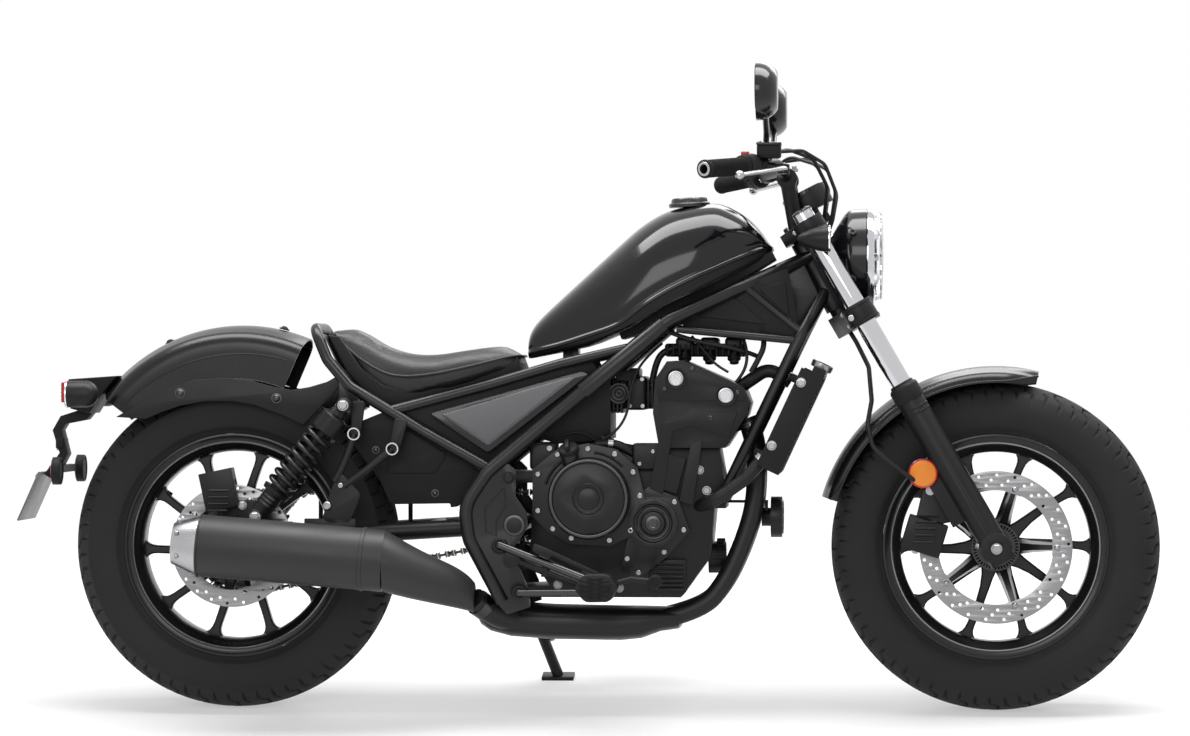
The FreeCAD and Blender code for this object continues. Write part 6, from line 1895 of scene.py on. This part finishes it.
def makeLampGlass():
    lens = lampTurned("lensGlass", [(79, 0), (79, 87), (90, 86.4), (94, 83), (96, 66), (97.4, 40),
        (97.8, 0)], lampGlass)
    bowl = lampTurned("lampReflector", [(79.6, 84.6), (78.8, 84.6), (78.9, 0), (79.6, 0)], lampSilver)
    parts = [lens, bowl]
    for lift in (30, -32):
        place = lampPlace + Vector((0, 0, lift))
        profile = [(79.6, 26), (83, 26), (83, 23), (80.6, 21), (80, 0)]
        add(parts, lampSilver, turned("lampCell", profile, place, (1, 0, 0), 48))
        add(parts, smokedLens, turned("lampBulb", [(80, 0), (80, 8), (86, 7), (88.6, 0)], place, (1, 0, 0),
            32))
    bar = block("lampBar", (1254.6, -78, 885), (1260, 78, 889), 1.2)
    add(parts, darkSteel, bar)
    return stand("headlight_glass", parts, 30)


def signalLens(name, centre, facing, radius):
    rim = [(-1, radius - 4), (-1, radius + 0.2), (1.4, radius + 0.6), (2.4, radius - 0.8),
        (1.6, radius - 3.6), (-1, radius - 4)]
    lens = [(-0.5, 0), (-0.5, radius - 3.4), (1.6, radius - 3.8), (3.2, radius * 0.5), (3.8, 0)]
    return [paint(turned(name + "Rim", rim, centre, facing, 48), lampSilver),
        paint(turned(name, lens, centre, facing, 48), smokedLens)]


def makeFrontSignals():
    shell = [(0, 0), (1, 5), (8, 11), (22, 18), (40, 23.4), (56, 25.8), (61, 26), (61, 0)]
    parts = []
    for side in (1, -1):
        tail = Vector((1108, side * 160, 917))
        add(parts, satinBlack, turned("signalShell", shell, tail, (1, 0, 0), 56),
            rod("signalStem", (1150, side * 128, 924), (1146, side * 150, 919), 8))
        parts += signalLens("signalLens", tail + Vector((61, 0, 0)), (1, 0, 0), 26)
    return stand("front_signals", parts, 30)


def makeRearSignals():
    parts = soft("rear_signals", satinBlack, 2.0, 3, 30)
    for side in (1, -1):
        low, high = headBox("rear_signals", side, 0)
        middle = Vector((low.x + 2.5, side * ((high.y if side > 0 else -low.y) - 26), (low.z + high.z) / 2))
        parts += signalLens("signalLens", middle, (-1, 0, 0), 26)
    return stand("rear_signals", parts, 30)


makeMeter()
makeHeadlight()
makeLampGlass()
makeFrontSignals()
makeRearSignals()
print("lamps done")


# coils, wiring and inner panels that close the gaps round the frame
innerShapes = {
    "guard": [(490, 452), (446, 398), (430, 396), (430, 404), (312, 402), (291, 449), (247, 507),
        (224, 552), (318, 590), (374, 550), (500, 478)],
    "leftGuard": [(490, 452), (291, 449), (247, 507), (224, 552), (318, 590), (374, 550), (500, 478)],
    "seatPan": [(560, 690), (570, 662), (505, 640), (330, 590), (280, 604), (226, 660), (190, 732),
        (212, 730), (254, 668), (298, 634), (345, 622), (400, 634), (450, 648), (505, 664),
        (555, 680)],
    "tankTray": [(752, 748), (780, 756), (850, 800), (930, 838), (1000, 871), (1054, 896), (1062, 880),
        (1000, 842), (930, 806), (850, 770), (790, 732), (762, 724)],
    "gusset": [(1040, 836), (1064, 846), (1118, 870), (1146, 812), (1108, 736), (1092, 738), (1080, 800)],
    "coverBack": [(332, 588), (372, 552), (506, 480), (718, 664), (704, 688), (640, 674), (501, 634)],
}


def makeInnerPanels():
    shapes = innerShapes
    for name, half in (("guard", -88), ("leftGuard", 98)):
        panel = plate("innerGuard", [rounded(shapes[name], 6, 4)], half - 10, half, 1.6, 2)
        lip = plate("guardRise", [rounded([(312, 520), (344, 548), (424, 500), (400, 462), (306, 462)], 8,
            4)], half - 12.5, half + 2.5, 1.2, 2)
        bolts = boltSet("guardBolts", [((x, half - 10 if half < 0 else half, z), (0, half, 0), 1.1)
            for x, z in ((284, 508), (400, 424 if half < 0 else 470))], darkSteel, "dome")
        fit(join("innerGuard", [paint(panel, mouldedBlack), paint(lip, mouldedBlack), bolts]), "chassis")
    for side in (1, -1):
        gusset = sidePlate("headGusset", [rounded(shapes["gusset"], 6, 3)], side, 20, 30, 1.4, 2)
        fit(join("headGusset", [paint(gusset, framePaint)]), "chassis")
    fit(paint(plate("tankTray", [shapes["tankTray"]], -62, 62, 2, 2), mouldedBlack), "chassis")
    pan = plate("seatPan", [shapes["seatPan"]], -96, 96, 3, 3)
    fit(paint(pan, mouldedBlack), "chassis")
    parts = [paint(sidePlate("coverBack", [rounded(shapes["coverBack"], 5, 3)], side, 96, 106, 1.2),
        mouldedBlack) for side in (1, -1)]
    fit(join("coverBacks", parts), "chassis")


def makeIgnition():
    parts = [paint(block("coilTray", (846, -58, 690), (1004, 58, 716), 6, 3), mouldedBlack)]
    for x in (868, 916, 964):
        add(parts, castCoat, block("coil", (x, -70, 700), (x + 34, 70, 728), 7, 3))
        add(parts, hoseRubber, turned("coilCap", [(0, 0), (0, 13), (16, 13), (20, 9), (24, 9), (24, 0)],
            (x + 17, -50, 700), (0.05, -0.35, -1), 24))
    parts.append(row("trayRibs", block("trayRib", (850, -76, 692), (854, 76, 714), 1.2, 1), 13, (12, 0, 0),
        mouldedBlack))
    routes = [(4.5, [(852, -74, 740), (880, -80, 728), (930, -82, 716), (990, -80, 706), (1030, -66, 690)]),
              (3.2, [(1000, -70, 726), (1010, -88, 700), (1004, -92, 660), (986, -92, 640)]),
              (5.5, [(1036, -60, 742), (1044, -84, 716), (1030, -92, 684), (1016, -88, 660)]),
              (2.6, [(900, -72, 730), (934, -92, 690), (950, -96, 672), (972, -100, 660)])]
    for radius, route in routes:
        add(parts, hoseRubber, swept("wire", route, radius))
    fit(join("ignition", parts), "chassis")


def makeEngineTop():
    starter = turned("starter", [(-2, 0), (-2, 28), (2, 30), (96, 30), (100, 27), (100, 0)],
        (690, -56, 512), (0, 1, 0), 48)
    parts = [paint(starter, castCoat)]
    add(parts, castCoat, block("caseShoulder", (586, -112, 470), (640, -60, 524), 7, 3),
        block("baseBracket", (786, -112, 470), (842, -66, 522), 6, 3))
    elbow = swept("pumpElbow", [(716, -96, 520), (744, -100, 522), (770, -98, 514), (790, -92, 500)], 9)
    add(parts, hoseRubber, elbow)
    parts.append(hoseClamp("elbowClamp", (744, -100, 521), (1, 0, -0.1), 9))
    parts.append(rightSide("topBolts", [(625, 512, 6), (826, 506, 4), (800, 482, 4)], -111.5, zincSteel))
    fit(join("engineTop", parts), "chassis")


makeInnerPanels()
makeIgnition()
makeEngineTop()
print("inner panels and wiring done")


# shock absorbers with wound springs
shockSizes = {"foot": (55, 140, 379), "head": (227, 140, 596), "springStart": 69,
    "coilRadius": 25.5, "wire": 4.6, "turns": 8.0}


def makeShock(side):
    sizes = shockSizes
    foot, head = (Vector((p[0], p[1] * side, p[2])) for p in (sizes["foot"], sizes["head"]))
    along = (head - foot).normalized()
    length = (head - foot).length
    parts = []
    for end in (foot, head):
        eye = [(-21.7, 8), (-21.7, 13), (-20.6, 14), (20.6, 14), (21.7, 13), (21.7, 8), (-21.7, 8)]
        add(parts, satinBlack, turned("shockEye", eye, end, (0, 1, 0), 40))
        parts.append(boltSet("shockBolt", [(end + Vector((0, side * 20, 0)), (0, side, 0), 1.5)], zincSteel,
            "hex"))
        add(parts, darkSteel, rod("eyeBush", end - Vector((0, 21, 0)), end + Vector((0, 21, 0)), 8.1, 24))
    body = [(6, 0), (6, 19), (52, 19.6), (56, 21), (57, 27), (66, 28.6), (67, 26), (67, 17), (150, 17),
        (151, 7), (length - 50, 7), (length - 50, 0)]
    add(parts, satinBlack, turned("shockBody", body, foot, along, 56))
    cap = [(length - 66, 7), (length - 66, 26), (length - 64, 28), (length - 30, 28), (length - 28, 26),
        (length - 24, 17), (length - 14, 15), (length - 8, 13), (length - 8, 0)]
    add(parts, satinBlack, turned("shockCap", cap, foot, along, 56))
    for level in (30, 38, 46):
        notch = hoop(level, level + 4, 19, 20.8)
        add(parts, darkSteel, turned("preloadRing", notch, foot, along, 24))
    start = sizes["springStart"]
    height = length - 66 - start - 2 * sizes["wire"] + 4
    coil = runTree("shockCoil", woundSpring, {"Turns": sizes["turns"], "Radius": sizes["coilRadius"],
        "Height": height, "Wire": sizes["wire"], "Finish": springSteel})
    parts.append(move(coil, turnTo(along, foot + along * (start + sizes["wire"] - 2))))
    return parts


stand("shock_absorbers", makeShock(1) + makeShock(-1), 40)


# rear caliper, tail light, plate and reflectors
def makeRearCaliper():
    parts = soft("rear_caliper", satinBlack, 2.6, 3, 30)
    rib = block("rearRib", (-44, -123, 388), (-4, -119.5, 391.5), 1, 1)
    parts.append(row("rearRibs", rib, 4, (1, 0, 13), satinBlack))
    parts.append(boltSet("rearCaliperBolts", [((x, -101.5, z), (0, -1, 0), 1.2)
        for x, z in ((22, 400), (52, 386))], zincSteel, "hex"))
    return stand("rear_caliper", parts)


def makeTailLight():
    body = paint(softened("tail_light", 2.2, 3, 30), mouldedBlack)
    paintWhere(body, redLens, lambda centre, normal: centre.x < -331.5)
    rib = block("lensRib", (-346.4, -50, 604), (-344.6, 50, 606), 0.6, 1)
    parts = [body, row("lensRibs", rib, 5, (0, 0, 7.4), redLens)]
    parts.append(boltSet("tailBolts", [((-226, side * 60.5, 600), (0, side, 0), 1.0) for side in (1, -1)],
        zincSteel, "dome"))
    return stand("tail_light", parts)


def makePlateBracket():
    tilt = Matrix.Translation((-384, 0, 464)) @ spin(24)
    flat = tilt.inverted()
    parts = soft("plate_bracket", mouldedBlack, 1.0, 2, 35)
    paintWhere(parts[0], plateGrey, lambda centre, normal: -0.5 < (flat @ centre).x < 4
        and (flat @ centre).z < 1 and abs(centre.y) < 92)
    board = plate("numberPlate", [rounded([(-89, -101), (89, -101), (89, -2), (-89, -2)], 8)], -1.6, 0, 0.5)
    move(board, tilt @ spin(90, "Z"))
    add(parts, plateGrey, board)
    for side in (1, -1):
        rim = [(0, 0), (0, 27), (14, 27), (15.6, 26), (16, 24), (13, 23.6), (13, 0)]
        add(parts, mouldedBlack, turned("reflectorRim", rim, (-346, side * 130, 467), (1, 0, 0), 48))
        lens = [(-2.4, 0), (-2.2, 20), (-1, 24.6), (1, 25), (1, 0)]
        add(parts, reflexRed, turned("reflectorLens", lens, (-346, side * 130, 467), (1, 0, 0), 48))
    lamp = block("plateLamp", (-362, -24, 508), (-344, 24, 530), 4, 3)
    add(parts, mouldedBlack, lamp)
    add(parts, smokedLens, block("plateLampLens", (-361, -18, 505.4), (-347, 18, 509), 1))
    places = [(tilt @ Vector((-1, y, -12)), (-0.91, 0, -0.4), 0.9) for y in (-60, 60)]
    parts.append(boltSet("plateBolts", places, zincSteel, "hex"))
    return stand("plate_bracket", parts)


makeRearCaliper()
makeTailLight()
makePlateBracket()


# pegs, pedals and side stand
pegSizes = {"rods": [((532, 325), (700, 262), 8), ((570, 233), (690, 236), 7)],
    "guard": [(600, 330), (622, 322), (742, 266), (764, 246), (748, 244), (612, 306), (596, 316)],
    "slot": [(634, 306), (694, 278), (688, 270), (630, 297)],
    "block": [(-42, 0), (-22, 27), (26, 27), (44, 6), (28, -26), (-20, -27)]}


def makeFootControls():
    sizes = pegSizes
    parts = soft("foot_controls", satinBlack, 1.4, 2, 35)
    for side in (1, -1):
        for (x, z), (endX, endZ), radius in sizes["rods"]:
            add(parts, darkSteel, rod("pegStay", (x, side * 158, z), (endX, side * 190, endZ), radius, 32))
            ring = [(0, 0), (0, 15), (8, 15), (10, 13.4), (10, 10), (6, 9), (6, 0)]
            add(parts, satinBlack, turned("stayBoss", ring, (x, side * 150, z), (0, side, 0), 40))
            parts.append(boltSet("stayBolts", [((x, side * 156, z), (0, side, 0), 1.2)], darkSteel))
        loops = [rounded(sizes["guard"], 5, 4), rounded(sizes["slot"], 3, 3)]
        add(parts, satinBlack, sidePlate("heelGuard", loops, side, 176, 184, 1.2, 2))
        start = Vector((724, side * 186, 247))
        outline = [(start.x + x, start.z + z) for x, z in sizes["block"]]
        add(parts, satinBlack, sidePlate("pegBlock", [rounded(outline, 9, 4)], side, 190, 264, 3, 3))
        for index in range(5):
            level = start.z - 19 + 9 * index
            reach = 33 - 0.06 * (level - start.z) ** 2
            for slope in (0.5, -0.5):
                ends = [(start.x + turn * reach, side * 264.5, level + turn * slope * reach * 0.5)
                    for turn in (-1, 1)]
                add(parts, gripRubber, swept("pegRib", ends, 2, "POLY", 2))
        profile = [(-2, 0), (-2, 13.2), (46, 13.2), (50, 11), (50, 0)]
        add(parts, gripRubber, turned("toeRubber", profile, (836, side * 202, 258), (0, side, 0), 24))
    return stand("foot_controls", parts)


standSizes = {"pivot": (560, 165, 204), "foot": (615, 240, 48), "beside": (17.2, -2.4, 4.9), "top": 30,
    "turns": 16.0, "radius": 6.0, "height": 62.0, "wire": 1.3, "hook": 9}


def makeSideStand():
    sizes = standSizes
    parts = soft("side_stand", satinBlack, 1.4, 2, 35)
    coil = runTree("standSpring", woundSpring, {"Turns": sizes["turns"], "Radius": sizes["radius"],
        "Height": sizes["height"], "Wire": sizes["wire"], "Finish": zincSteel})
    pivot = Vector(sizes["pivot"])
    along = (Vector(sizes["foot"]) - pivot).normalized()
    beside = Vector(sizes["beside"])
    top = pivot + along * sizes["top"]
    parts.append(move(coil, turnTo(along, top + beside)))
    for distance, way in ((0, -1), (sizes["height"], 1)):
        point = top + along * distance
        away = along * way * sizes["hook"]
        add(parts, zincSteel, rod("springPost", point + away, point + away + beside * 1.15, 3, 16),
            rod("springHook", point + beside, point + away + beside, 1.6, 12))
    return stand("side_stand", parts)


makeFootControls()
makeSideStand()
print("rear end done")


print("pieces done")
